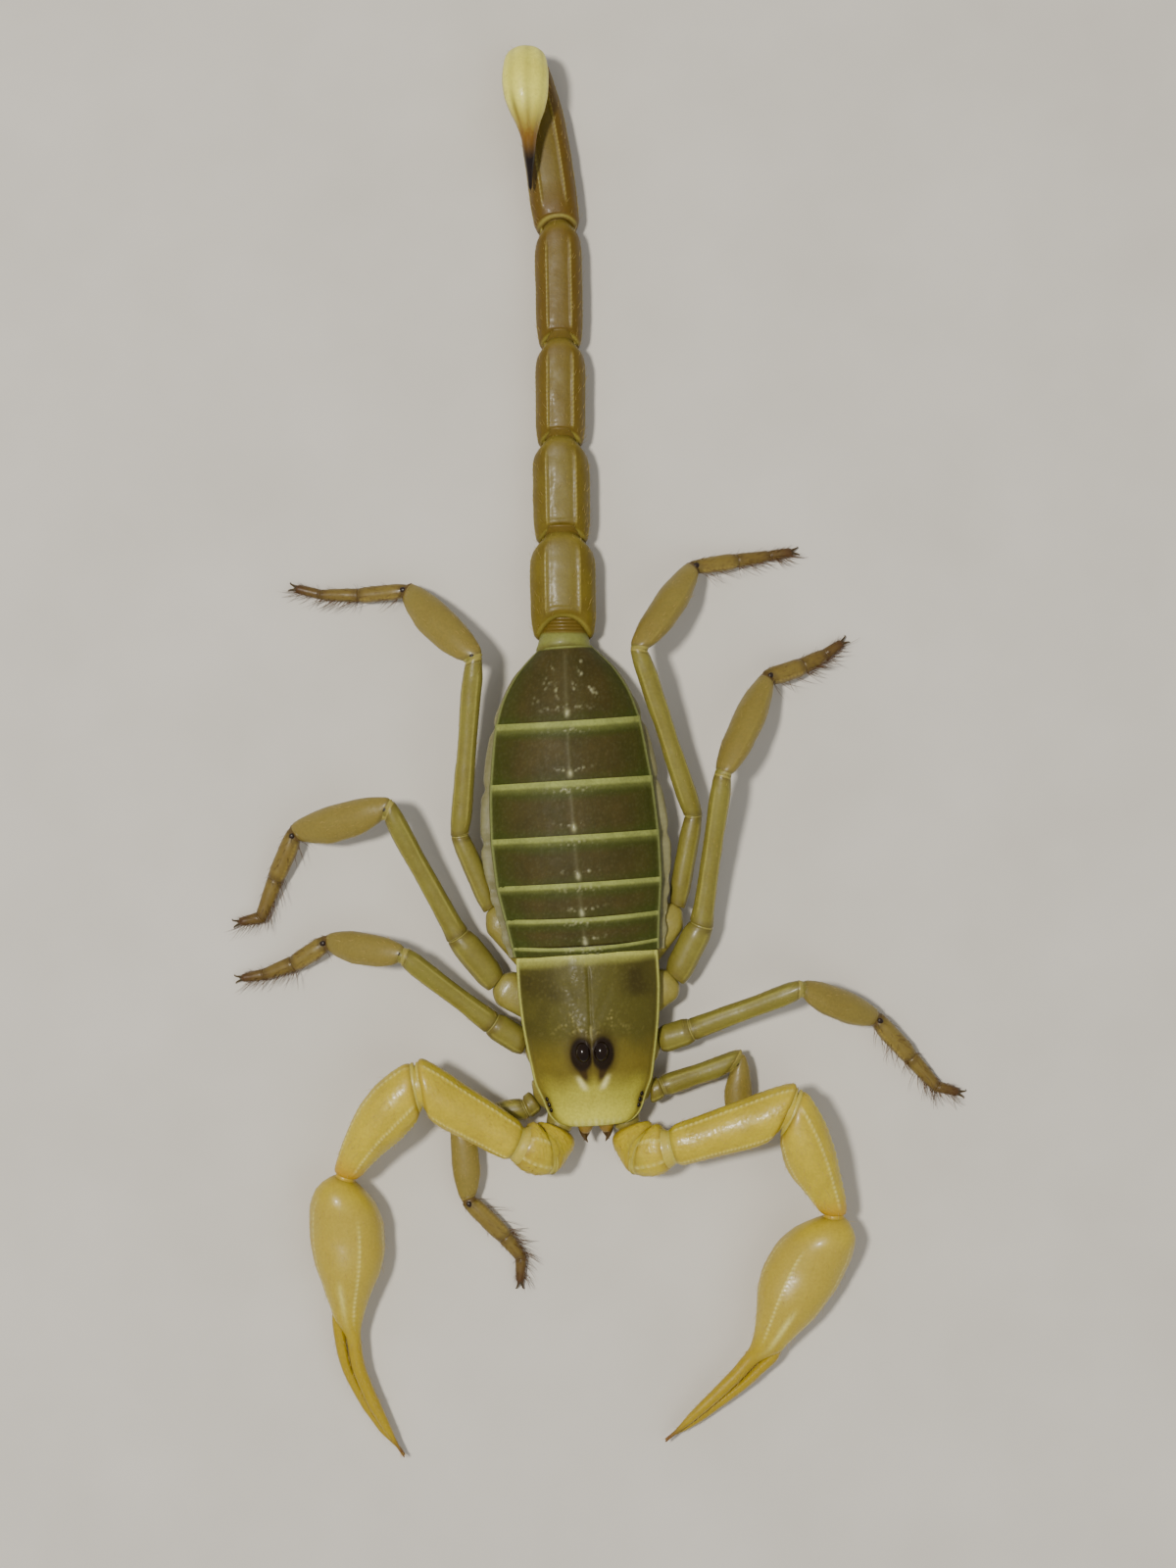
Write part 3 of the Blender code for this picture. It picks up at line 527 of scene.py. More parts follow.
MATERIALS = {
    "carapace": cuticle(
        "carapace_cuticle", (118, 104, 34), (108, 96, 30),
        {"olive": (84, 78, 26), "blotch": (58, 50, 14), "front": (196, 190, 72), "rim": (176, 176, 88),
         "spot": (232, 224, 150), "grain": (168, 158, 92), "brown": (62, 45, 13), "dark": (32, 20, 8)},
        grain=0.1, relief=0.004, gloss=(0.5, 0.62), flesh=0.15, coat=0.02, shine=0.22, shiny=("grain",),
    ),
    "tergite": cuticle(
        "tergite_cuticle", (72, 62, 26), (62, 55, 21),
        # grain: pale granules, and a painted highlight on each plate's front boss
        {"green": (60, 66, 18), "band": (148, 154, 82), "rim": (126, 132, 76), "grain": (166, 164, 124)},
        grain=0.11, relief=0.003, gloss=(0.54, 0.66), flesh=0.1, coat=0.0, shine=0.18,
        shiny=("grain", "grain"),
    ),
    "skin": cuticle(
        "body_skin", (150, 146, 106), (136, 133, 96),
        # The flank colour: the flank's own tone, darker in its creases and in the grooves between the belly
        # plates as painted shade.
        {"flank_tone_and_crease_shade": (110, 104, 64), "plate": (156, 142, 72), "band": (178, 170, 100), "dark": (60, 44, 18)},
        grain=0.07, relief=0.006, gloss=(0.4, 0.55), flesh=0.3, coat=0.05,
    ),
    "chest": cuticle(
        "chest_cuticle", (142, 131, 57), (133, 121, 52),
        {"keel": (190, 178, 96), "dark": (70, 46, 14), "warm": (154, 112, 28)},
        grain=0.1, relief=0.008, flesh=0.25,
    ),
    "leg": cuticle(
        "leg_cuticle", (128, 120, 47), (120, 110, 42),
        {"seam": (92, 74, 26), "keel": (154, 146, 70), "tan": (136, 117, 52), "dark": (36, 22, 8),
         "soft": (152, 140, 66)},
        grain=0.1, relief=0.004, gloss=(0.36, 0.48), flesh=0.3, coat=0.1,
    ),
    "leg_tip": cuticle(
        "leg_tip_cuticle", (128, 110, 46), (119, 99, 39),
        {"seam": (80, 58, 22), "keel": (152, 132, 64), "dark": (36, 20, 8), "tip": (80, 52, 22),
         "soft": (94, 72, 30)},
        grain=0.09, relief=0.004, gloss=(0.36, 0.48), flesh=0.25,
    ),
    "pedipalp": cuticle(
        "pedipalp_cuticle", (194, 172, 46), (180, 158, 42),
        {"seam": (138, 104, 26), "hand": (178, 156, 56), "keel": (216, 204, 112), "warm": (186, 140, 20),
         "dark": (92, 58, 12), "honey": (166, 141, 20), "tip": (106, 70, 20), "tooth": (60, 30, 10),
         "soft": (190, 172, 70)},
        grain=0.11, relief=0.004, gloss=(0.34, 0.46), flesh=0.3, coat=0.14,
    ),
    "tail": cuticle(
        "tail_cuticle", (114, 99, 22), (103, 87, 18),
        # notch: painted shade along each piece's front edge on top, where it meets the piece before
        {"deep": (94, 67, 9), "pale": (116, 104, 40), "keel": (158, 146, 70), "notch": (44, 31, 9),
         # rim: painted highlight along each piece's front edge and rear end on top, and on the hinge knobs
         "rim": (158, 147, 66), "waist": (128, 130, 62), "soft": (104, 84, 24), "seam": (80, 60, 16)},
        grain=0.1, relief=0.004, gloss=(0.42, 0.54), flesh=0.2, coat=0.05, shine=0.3,
    ),
    "telson": cuticle(
        "telson_cuticle", (238, 232, 104), (228, 220, 92),
        {"stripe": (132, 124, 44), "warm": (124, 86, 14), "tip": (22, 10, 4)},
        grain=0.12, relief=0.003, gloss=(0.28, 0.4), flesh=0.3, coat=0.15,
    ),
    "eye": cuticle("eye_lens", (22, 12, 5), (30, 17, 7), {},
                   grain=0.3, relief=0.001, gloss=(0.12, 0.2), flesh=0.0, coat=0.0, shine=0.3),
    "bristle": cuticle("bristles", (112, 78, 36), (96, 62, 28), {"tip": (76, 48, 20)},
                       grain=0.3, relief=0.001, gloss=(0.35, 0.5), flesh=0.0, coat=0.0),
    "hair": cuticle("fine_hairs", (214, 190, 110), (198, 172, 96), {"tip": (176, 146, 76)},
                    grain=0.3, relief=0.001, gloss=(0.35, 0.5), flesh=0.0, coat=0.0),
}

# Tubes


def turned(angles, degrees):
    """Angles measured from a line at these degrees, between -pi and pi."""
    return (angles - math.radians(degrees) + math.pi) % (2 * math.pi) - math.pi


class Keel(NamedTuple):
    """A ridge of beads along a piece."""

    degrees: float  # where it lies round the piece
    height: float
    width: float = 0.09
    bead: float = 0.26  # how long each bead is
    span: tuple = (0.06, 0.94)  # the share of the piece that it takes up
    notch: float = 0.38  # half the depth of the gaps between the beads, as a share of the height

    def ridge(self, places, length, angles, radius):
        away = turned(angles, self.degrees) * radius
        start, end = self.span
        share = places / length
        window = ease(start - 0.04, start + 0.04, share) * (1 - ease(end - 0.04, end + 0.04, share))
        beads = 1 - self.notch * (1 - np.cos(2 * math.pi * places / self.bead + self.degrees))
        return bell(away, self.width) * beads * window


def keels_at(turns, *looks):
    """Keels that look the same, at these degrees round a piece."""
    return [Keel(turn, *looks) for turn in turns]


def bent(points, loft, places, angles, bows, reach=1.4):
    """A tube's points with its front and rear edges bowed along it on top."""
    rows = places[:, None]
    top = 0.35 + 0.65 * ease(-0.4, 0.5, np.sin(angles))
    near = 1 - ease(0, max(reach, 2.2 * bows[0]), rows)
    back = 1 - ease(0, max(reach, 2.2 * bows[1]), loft.length - rows)
    shift = (bows[0] * near + bows[1] * back) * np.sin(angles) ** 2 * top
    return points + unit(loft.at(places, loft.tangents))[:, None] * shift[..., None]


def tube(loft, columns, step, keels=(), grains=(0.14, 0.012), lumps=(0.9, 0.025), lip=0.12, end=0.84,
         square=2.0, bows=None, size=1.0, taper=None, far=None):
    """The surface of one limb piece: (points, marks, places, angles).

    grains and lumps are (width, height). taper is (from this share of the piece, to this share of its size).
    """
    places = rows_of(loft.length, step, lip)
    sizes = rounded(places, loft.length, lip, end, far) * size
    if taper:
        sizes = sizes * (1 - (1 - taper[1]) * ease(taper[0], 1.0, places / loft.length))
    points, angles = loft.surface(places, columns, square, sizes)
    if bows:
        points = bent(points, loft, places, angles, bows)
    rows = places[:, None]
    normals = facing(points)
    radius = loft.at(places, loft.halves).mean(axis=1)[:, None]
    ridges = np.zeros(points.shape[:2])
    lift = np.zeros(points.shape[:2])
    for keel in keels:
        ridge = keel.ridge(rows, loft.length, angles, radius)
        lift += keel.height * ridge
        ridges = np.maximum(ridges, ridge)
    inner = ease(0, lip * 1.5, rows) * ease(0, lip * 1.5, loft.length - rows)
    lift += grains[1] * pebbles(points, grains[0]) * inner
    lift += lumps[1] * swell(points, lumps[0]) * inner
    lift -= max([keel.height for keel in keels], default=0) * 0.3
    points = above_floor(points + normals * lift[..., None])
    seam = np.maximum(ease(0.5, 0.15, rows), ease(0.5, 0.15, loft.length - rows))
    seam = 0.6 * seam * (0.7 + 0.3 * swell(points, 0.4))
    return points, {"keel": ridges, "seam": seam}, places, angles


def above_floor(points):
    """The same points, raised to the floor where they were under it."""
    points[..., 2] = np.maximum(points[..., 2], 0.0)
    return points


def share_of(surface):
    """How far along its piece each row of a surface is, 0 to 1."""
    return (surface[2] / surface[2][-1])[:, None]


def bridge(before, after, back, ahead, size, columns=40, folds=0.03):
    """The soft skin that joins two pieces, from a little inside one to a little inside the other."""
    spots = ((before, before.length - back), (before, before.length), (after, 0.0), (after, ahead))

    def table(key):
        return np.array([loft.at(place, getattr(loft, key)) for loft, place in spots])

    tangents, across = unit(table("tangents")), unit(table("across"))
    soft = Loft(table("centres"), tangents, across, table("halves") * size, table("leans"))
    places = np.linspace(0, soft.length, max(8, int(soft.length / 0.09)))
    points, _ = soft.surface(places, columns)
    wave = folds * np.cos(places / 0.22 * 2 * math.pi)[:, None]
    return above_floor(points + facing(points) * wave[..., None]), {"soft": 1.0}


def blob(centre, axes, radii, rows, columns, **marks):
    """An egg-shaped lump."""
    polar = np.linspace(0, math.pi, rows + 2)[1:-1, None]
    turn = np.arange(columns)[None] * (2 * math.pi / columns)
    x, y, z = np.sin(polar) * np.cos(turn), np.sin(polar) * np.sin(turn), np.cos(polar) * np.ones_like(turn)
    a, b, c = (np.asarray(axis, float) * radius for axis, radius in zip(axes, radii))
    return centre + x[..., None] * a + y[..., None] * b + z[..., None] * c, marks


def knuckle(before, after, size):
    """A rounded lump that fills the outside of the bend between two pieces."""
    end, end_half, end_along, *_ = before.spot(before.length)
    start, start_half, start_along, *_ = after.spot(0.0)
    half = (end_half + start_half) / 2 * size
    along = unit(end_along + start_along)
    across = unit(np.cross(along, UP))
    axes = (along, across, np.cross(across, along))
    return blob((end + start) / 2, axes, (half[0], half[0], half[1]), 20, 32)


def cone(path, radii, columns, **marks):
    """A tapering round tube through a short path."""
    loft = Loft.through([(*place, radius, radius) for place, radius in zip(path, radii)])
    points, _ = loft.surface(np.linspace(0, loft.length, max(6, 4 * len(path))), columns)
    return above_floor(points), marks


# Setae: tapered hairs and bristles over each piece, collected as they are made

SETAE_TOP = cad_box[1][2] / MM + 0.1  # no seta stands higher than this


class Coat:
    """Setae of a few pieces, each with its root's place on an unwrap of those pieces."""

    SIDES = 3
    LEVELS = ((0.0, 1.0, 0.0), (0.45, 0.8, 0.12), (0.8, 0.45, 0.5), (1.0, 0.08, 1.0))  # (share, radius, bend)
    PATCH = 0.003  # width of each seta's patch of the unwrap

    def __init__(self, name, look, slot, pieces):
        self.name = name
        self.look = look
        self.slot = slot
        self.pieces = pieces
        self.setae = []

    def over(self, surface, count, length, radius, lean, where=None, stiff=0.15):
        """Setae on one piece: where(place share, angle) gives the share that stays."""
        points, _, places, angles = surface
        normals = facing(points)
        along = unit(np.gradient(points, axis=0))
        rows = random.integers(2, len(places) - 2, count)
        columns = random.integers(0, len(angles), count)
        chance = random.random(count)
        size = random.uniform(*length, count)
        sway = random.normal(0, 0.18, (count, 3))
        shares = places[rows] / places[-1]
        if where is not None:
            keep = chance < where(shares, angles[columns])
            rows, columns, size, sway, shares = (table[keep] for table in (rows, columns, size, sway, shares))
        normal, tangent = normals[rows, columns], along[rows, columns]
        heading = unit(normal * (1 - lean) + tangent * lean + sway)
        roots = points[rows, columns] - normal * 0.02
        turn = angles[columns] / (2 * math.pi) % 1.0
        place = np.stack([(len(self.setae) + shares) / self.pieces, turn], axis=-1)
        self.setae.append((roots, heading, size, np.full(len(roots), radius), tangent * stiff, place))

    def rings(self, roots, headings, lengths, radii, bends):
        """The points of all setae, ring by ring from the root to the tip."""
        across = unit(np.cross(headings, np.where(abs(headings[:, 2:]) > 0.9, (1.0, 0.0, 0.0), UP)))
        over = np.cross(across, headings)
        turn = np.arange(self.SIDES)[:, None] * (2 * math.pi / self.SIDES)
        spokes = across[:, None] * np.cos(turn) + over[:, None] * np.sin(turn)
        rings = []
        for share, thin, sag in self.LEVELS:
            middle = roots + headings * (lengths * share)[:, None] + bends * (lengths * sag)[:, None]
            rings.append(middle[:, None] + spokes * (radii * thin)[:, None, None])
        points = np.concatenate(rings, axis=1)
        points[..., 2] = np.clip(points[..., 2], 0.005, SETAE_TOP)
        return points

    def finish(self):
        *tables, places = (np.concatenate(table) for table in zip(*self.setae))
        points = self.rings(*tables)
        count, sides, levels = len(points), self.SIDES, len(self.LEVELS)
        ring = np.arange(sides)
        after = np.roll(ring, -1)
        sleeve = np.stack([ring, after, after + sides, ring + sides], axis=-1)
        quads = np.concatenate([sleeve + level * sides for level in range(levels - 1)])
        ends = np.array([ring[::-1], ring + (levels - 1) * sides])
        start = np.arange(count)[:, None, None] * (levels * sides)
        loops = np.concatenate([(faces + start).reshape(-1) for faces in (quads, ends)])
        counts = np.repeat((4, sides), (count * len(quads), count * len(ends)))
        tips = np.tile(np.repeat([level[0] for level in self.LEVELS], sides), count)
        mesh = fill_mesh(self.name, points.reshape(-1, 3), loops, counts, {"tip": [(0, tips)]})
        square = np.array(((0, 0), (1, 0), (1, 1), (0, 1)) * len(quads)) - 0.5
        corner = np.array(((0, 0), (1, 0), (0.5, 1)) * len(ends)) - 0.5
        patches = [(places[:, None] + shape * self.PATCH).reshape(-1, 2) for shape in (square, corner)]
        layer = mesh.uv_layers.new(name="OFBake")
        layer.data.foreach_set("uv", np.clip(np.concatenate(patches), 0, 1).reshape(-1))
        place_mesh(mesh, self.look, self.slot)


def chain(stem, parts, start):
    """The loops of a limb's nodes in turn, each read on from the end of the one before."""
    loops = []
    for part in parts:
        loops.append(node_loops(f"{stem}_{part}", start))
        start = loops[-1][-1].mean(axis=0)
    return loops


# Legs

LEG_KNOB = (0.204, 0.17, 0.1105)  # the half sizes of a joint's hinge knob
LEG_KEEL = (0.065, 0.2, (0.08, 0.9), 0.14)  # a leg keel's width, bead, span and notch
# Setae: the range of their length, their radius and how far they lean along the piece
LEG_HAIRS = {"length": (0.15, 0.4), "radius": 0.01, "lean": 0.76}
LEG_SPINES = {"length": (0.16, 0.42), "radius": 0.012, "lean": 0.72}
LEG_COMB = {"length": (0.5, 1.15), "radius": 0.018, "lean": 0.5, "stiff": 0.25}
COMB_WIDTH = 0.55  # in radians round the leg


def joint_knob(loft, aside):
    """The dark hinge knob on top of the joint where this piece begins."""
    centre, half, along, across, over = loft.spot(0.05)
    centre = centre + over * half[1] * 0.8 + across * half[0] * aside
    return blob(centre, (along, across, over), LEG_KNOB, 8, 12, dark=1.0)


def claws(loft):
    """Two curved claws and the small spur between them at the end of a foot."""
    tip, _, along, across, _ = loft.spot(loft.length)
    share = np.linspace(0, 1, 6)[:, None]
    radii = 0.07 * (1 - share[:, 0]) + 0.012
    grids = []
    for aside in (-1, 1):
        path = tip + along * (0.5 * np.sin(share * 1.9) - 0.1) + across * aside * (0.06 + 0.22 * share)
        grids.append(cone(path + UP * (0.1 - 0.3 * share * share), radii, 8, dark=0.8))
    spur = [tip - along * 0.1 - UP * 0.05, tip + along * 0.06 - UP * 0.12, tip + along * 0.16 - UP * 0.16]
    return grids + [cone(spur, (0.06, 0.04, 0.012), 8, dark=0.6)]


def make_leg(stem, tail_side, coat, comb):
    """One leg. tail_side is 1 where the leg's side towards the tail is on the right of its line, else -1."""
    first, second, third = chain(stem, ("femur", "patella", "tarsus"), BODY_MIDDLE)
    trochanter, femur, patella = (Loft.from_loops(loops) for loops in (first[:4], first[3:], second))
    tibia, basitarsus, telotarsus = (Loft.from_loops(third[a:b]) for a, b in ((0, 4), (3, 6), (5, 8)))
    edge = 90 + 42 * tail_side
    upper = tube(trochanter, 56, 0.08, keels_at((edge, -60), 0.03, *LEG_KEEL))
    turns = (90 - 35 * tail_side, 90 + 55 * tail_side, -70)
    thigh = tube(femur, 56, 0.085, keels_at(turns, 0.035, *LEG_KEEL), far=(0.3, 0.74))
    turns = (90 + 70 * tail_side, -90 - 60 * tail_side)
    knee = tube(patella, 64, 0.085, keels_at(turns, 0.03, *LEG_KEEL), lip=0.3, end=0.74)
    knee[1]["tan"] = 0.7
    grids = [upper, thigh, bridge(trochanter, femur, 0.3, 0.3, 0.93), knuckle(femur, patella, 0.94)]
    dress(stem + "_femur", grids, "leg")
    grids = [knee, bridge(femur, patella, 0.35, 0.35, 0.93), joint_knob(patella, 0.1 * tail_side)]
    dress(stem + "_patella", grids, "leg")
    shin = tube(tibia, 48, 0.085, keels_at((edge, -60), 0.02), grains=(0.12, 0.008))
    ankle = tube(basitarsus, 44, 0.08, (), grains=(0.12, 0.006), lumps=(0.6, 0.015))
    foot = tube(telotarsus, 40, 0.07, (), grains=(0.1, 0.006), lumps=(0.5, 0.012), lip=0.2, end=0.5)
    for surface, low, high in ((shin, 0.0, 0.12), (ankle, 0.12, 0.4), (foot, 0.4, 1.0)):
        surface[1]["tip"] = low + (high - low) * share_of(surface)
    joints = [bridge(patella, tibia, 0.3, 0.3, 0.93), joint_knob(tibia, 0.2 * tail_side),
              bridge(tibia, basitarsus, 0.2, 0.2, 0.92), bridge(basitarsus, telotarsus, 0.16, 0.16, 0.92)]
    dress(stem + "_tarsus", [shin, ankle, foot, *joints, *claws(telotarsus)], "leg_tip")

    def on_comb(shares, angles):
        return bell(turned(angles, 90 + 80 * tail_side), COMB_WIDTH)

    for surface, count in ((thigh, 80), (knee, 100)):
        coat.over(surface, count, **LEG_HAIRS)
    for surface, count in ((shin, 80), (ankle, 70), (foot, 60)):
        comb.over(surface, count, **LEG_SPINES)
    for surface, count in ((shin, 90), (ankle, 170), (foot, 110)):
        comb.over(surface, count, where=on_comb, **LEG_COMB)


def make_legs():
    for side, sign in SIDES.items():
        coat = Coat(f"leg_hairs_{side}", "hair", "leg", 8)
        comb = Coat(f"leg_bristles_{side}", "bristle", "leg_tip", 24)
        for pair in (1, 2, 3, 4):
            make_leg(f"leg_{pair}_{side}", -sign, coat, comb)
        coat.finish()
        comb.finish()


# Plates of the back


def leftward():
    """The direction across the body, from the carapace."""
    loops = node_loops("carapace", HEAD_END)
    low, high = loops[..., 0].argmin(axis=1), loops[..., 0].argmax(axis=1)
    rows = np.arange(len(loops))
    across = (loops[rows, high] - loops[rows, low]) * (1, 1, 0)
    return unit(across.sum(axis=0))


LEFT = leftward()
ARCH_POWER = 2.2


def arch(share, crest, edge):
    return edge + (crest - edge) * (1 - abs(share) ** ARCH_POWER)


class Plate:
    """A curved plate read from its node: its line in plan, half width, crest and side edge."""

    def __init__(self, name):
        loops = node_loops(name, HEAD_END)
        rows = np.arange(len(loops))
        aside = loops @ LEFT
        left = loops[rows, aside.argmax(axis=1)]
        right = loops[rows, aside.argmin(axis=1)]
        self.centres = (left + right) / 2
        self.halves = (aside.max(axis=1) - aside.min(axis=1)) / 2
        self.edges = left[:, 2]
        middle = (self.centres @ LEFT)[:, None]
        share = abs(aside - middle) / self.halves[:, None]
        rise = (loops[..., 2] - self.edges[:, None]) / (1 - np.minimum(share, 0.95) ** ARCH_POWER)
        shoulder = (share > 0.3) & (share < 0.8)
        self.crests = self.edges + np.where(shoulder, rise, 0).max(axis=1)
        self.backs = self.centres[:, 1] - WAIST[1]

    def at(self, backs, values):
        return curve(backs, self.backs, values)

    def sheet(self, backs, shares, lift, thick, bow=0.0, bow_reach=1.0):
        """Closed surface of the plate. lift and thick are by row and share of width."""
        rows = backs[:, None]
        half, crest, edge = (self.at(rows, values) for values in (self.halves, self.crests, self.edges))
        x = half * shares
        top = arch(shares, crest, edge) + lift
        inner = shares * (1 - 0.03 * np.ones_like(rows))
        bottom = arch(inner, crest, edge) - thick
        centre = self.at(rows, self.centres[:, 0])
        y = rows + bow * (1 - shares ** 2) * ease(self.backs[-1] - bow_reach, self.backs[-1], rows)
        over = np.stack([centre + LEFT[0] * x, WAIST[1] + y + LEFT[1] * x, top], axis=-1)
        x = half * inner
        bottom = np.minimum(bottom, top - 0.03)
        under = np.stack([centre + LEFT[0] * x, WAIST[1] + y + LEFT[1] * x, bottom], axis=-1)
        return np.concatenate([over, under[:, ::-1]], axis=1)


def both(values):
    """Marks of a plate's top, given again to its underside."""
    return np.concatenate([values, values[:, ::-1]], axis=1)


def edge_rows(front, rear, step, lip, thin=0.03):
    """Rows of a plate, close together at its two rounded edges."""
    near = np.array((0.0, 0.25, 0.6, 1.0)) * thin * 2
    inner = np.arange(front + thin * 3, rear - 0.03, step)
    ledge = np.array((-0.02, 0.02, 0.3 * lip, 0.6 * lip, lip - thin * 2, lip - thin, lip - thin / 3, lip))
    return np.unique(np.round(np.concatenate([front + near, inner, rear + ledge]), 4))


def plate_depth(backs, shares, front, rear, lip, thick, ledge=0.1):
    """Thickness of a plate: thin where it overlaps the next one, rounded over at its edges."""
    rows = backs[:, None]
    depth = np.where(rows > rear, ledge, thick)
    depth = depth * (0.35 + 0.65 * np.sqrt(np.clip((rows - front) / 0.08, 0, 1)))
    depth = depth * (0.3 + 0.7 * np.sqrt(np.clip((rear + lip - rows) / 0.05, 0, 1)))
    side = np.clip((1 - abs(shares)) / 0.04, 0, 1)
    return depth * (0.3 + 0.7 * np.sqrt(side))


# Each tergite: how far its rear edge bows towards the tail in the middle, and its pale band's width
TERGITE_LOOKS = ((-0.2, 0.2), (-0.1, 0.34), (0.0, 0.42), (0.0, 0.5), (0.0, 0.56), (-0.08, 0.58), (0.0, 0.0))
LIP = 0.24  # how far a tergite reaches over the next one
LAST_LIP = 0.06
# The last tergite's granule rows: (from the middle, flare towards the head, first and last share of length)
GRANULE_ROWS = ((0.85, 0.95, 0.28, 0.84), (0.42, 0.1, 0.34, 0.52))


def plate_piece(node, points, marks, look, ending):
    """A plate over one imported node: its marks are those of its top."""
    shape = (len(points), points.shape[1] // 2)
    marks = {key: both(np.broadcast_to(values, shape)) for key, values in marks.items()}
    dress(node, [(points, marks)], look, ending=ending, plate=True)


def boss_relief(x, rows, flat, front, rear):
    """(height, grain mark) of a tergite's front boss, the arms beside it and the spine behind it. On the boss
    the grain mark is a painted highlight; on the arms it is pale granules.
    """
    fore = front + min(0.75, 0.28 * (rear - front))
    arms = bell(rows - fore - 0.16 * (x / 1.4) ** 2, 0.1) * bell(x - 0.1, 0.9) * pebbles(flat, 0.28, seed=11)
    # The boss's share of the grain mark is a painted highlight.
    boss = bell(x, 0.13) * bell(rows - fore + 0.22, 0.2)
    spine = bell(x, 0.13) * ease(front + 0.15, fore, rows) * ease(rear - 0.1, rear - 0.6, rows)
    return 0.08 * arms + 0.08 * boss + 0.03 * spine, 0.9 * arms + 0.95 * boss + 0.07 * spine


def band_relief(x, behind, flat, band, marks):
    """Height of the bright line at a tergite's rear edge, which fades towards the head. Adds its marks."""
    soft = band - 0.05 + 0.05 * swell(flat, 1.8, seed=37)
    fade = 0.42 * ease(0.1 + 1.4 * soft, 0.4 * soft, behind)
    fade += 0.58 * ease(0.17 + 0.47 * soft, 0.07 + 0.35 * soft, behind)
    marks["band"] = (0.86 + 0.14 * swell(flat, 0.5, seed=41)) * fade
    marks["green"] = np.maximum(marks["green"], 0.8 * ease(soft + 0.75, soft + 0.2, behind))
    # Pale granules along the band: their pale colour is partly a painted glint.
    dots = bell(behind - soft, 0.2) * bell(x, 1.3) * pebbles(flat, 0.22, seed=43)
    marks["grain"] = np.maximum(marks["grain"], 0.6 * dots)
    return 0.02 * bell(behind - band * 0.5, band * 0.5) + 0.05 * dots


def granule_relief(x, along, share, behind, flat, marks):
    """Height of the last tergite's scattered rows of granules. Adds its marks."""
    crests = 0.7 * bell(along - 0.95 + 0.1 * x * x, 0.12) * bell(x, 1.5)
    sway = 0.1 * swell(flat, 0.6, seed=73)
    for near, flare, toe, heel in GRANULE_ROWS:
        line = near + flare * ease(0.66, 0.24, share) + sway
        span = ease(toe - 0.06, toe + 0.06, share) * ease(heel + 0.05, heel - 0.05, share)
        crests = np.maximum(crests, bell(abs(x) - line, 0.16) * span)
    # The granules are painted pale, partly as painted glints.
    beads = crests * pebbles(flat, 0.3, share=0.5, seed=17)
    marks["grain"] = np.maximum(marks["grain"], 0.85 * beads)
    marks["band"] = 0.6 * ease(0.16, 0.06, behind)
    return 0.12 * beads


def make_tergite(number):
    plate = Plate(f"tergite_{number}")
    bow, band = TERGITE_LOOKS[number - 1]
    front, rear = plate.backs[0], plate.backs[-1]
    lip = LIP if band else LAST_LIP
    backs = edge_rows(front, rear, 0.07, lip)
    shares = np.linspace(-1, 1, 141)
    rows, u = np.broadcast_arrays(backs[:, None], shares[None])
    x = u * plate.at(rows, plate.halves)
    flat = np.stack([x, rows, np.zeros_like(x)], axis=-1)
    behind = rear + lip - rows
    grain = pebbles(flat + number * 7.1, 0.2) * ease(0.1, 0.35, behind)
    lift, granules_and_glint = boss_relief(x, rows, flat, front, rear)
    lift += 0.008 * grain * ease(1.0, 0.1, abs(u)) + 0.02 * swell(flat, 1.1)
    lift += 0.025 * bell(abs(u) - 0.985, 0.02) - 0.03 * bell(abs(u) - 0.93, 0.02)
    lift -= 0.06 * (1 - np.sqrt(np.clip((rows - front) / 0.08, 0, 1)))
    green = 0.75 * ease(0.55, 1.0, abs(u)) + 0.45 * bell(rows - front - 0.25, 0.3)
    green += 0.12 * swell(flat * (1.0, 0.12, 1.0), 0.22, seed=29)
    marks = {"green": green, "rim": ease(0.955, 0.985, abs(u)), "grain": granules_and_glint + 0.04 * grain}
    if band:
        lift += band_relief(x, behind, flat, band, marks)
    else:
        lift += granule_relief(x, rows - front, (rows - front) / (rear - front), behind, flat, marks)
    thick = plate_depth(backs, shares[None], front, rear, lip, 0.45)
    points = plate.sheet(backs, shares[None], lift, thick, bow)
    plate_piece(f"tergite_{number}", points, marks, "tergite", "plate")


# Eyes: how far ahead of the waist and to the side
EYE_AHEAD = 5.05
EYE_ASIDE = 0.58
LATERAL_EYES = ((8.42, 0.12), (8.1, 0.13), (7.76, 0.12))  # (ahead of the waist, radius)
LATERAL_EYE_SHARE = 0.9
MEDIAN_LENS = (0.45, 0.6, 0.5)


def eye_mound(x, ahead):
    """Height of the mound that the median eyes stand on, with its brows, its groove and the sockets' rims."""
    lift = 0.4 * np.exp(-((ahead - EYE_AHEAD) / 1.25) ** 2 - (x / 0.95) ** 4)
    lift += 0.07 * bell(abs(x) - 0.3, 0.12) * bell(ahead - EYE_AHEAD - 0.1, 0.95)
    lift -= 0.07 * bell(x, 0.13) * bell(ahead - EYE_AHEAD, 1.2)
    for side in (1, -1):
        socket = np.hypot((x - side * EYE_ASIDE) / 0.5, (ahead - EYE_AHEAD) / 0.64)
        lift += 0.05 * bell(socket - 1.06, 0.2)
    return lift


def eye_shades(x, ahead):
    """The dark patch round the median eyes and the brown one round that."""
    near = np.hypot((abs(x) - 0.6) / 0.68, (ahead - EYE_AHEAD - 0.15) / 1.02)
    return ease(1.12, 0.78, near) * (1 - 0.4 * bell(x, 0.06)), ease(1.7, 0.9, near)


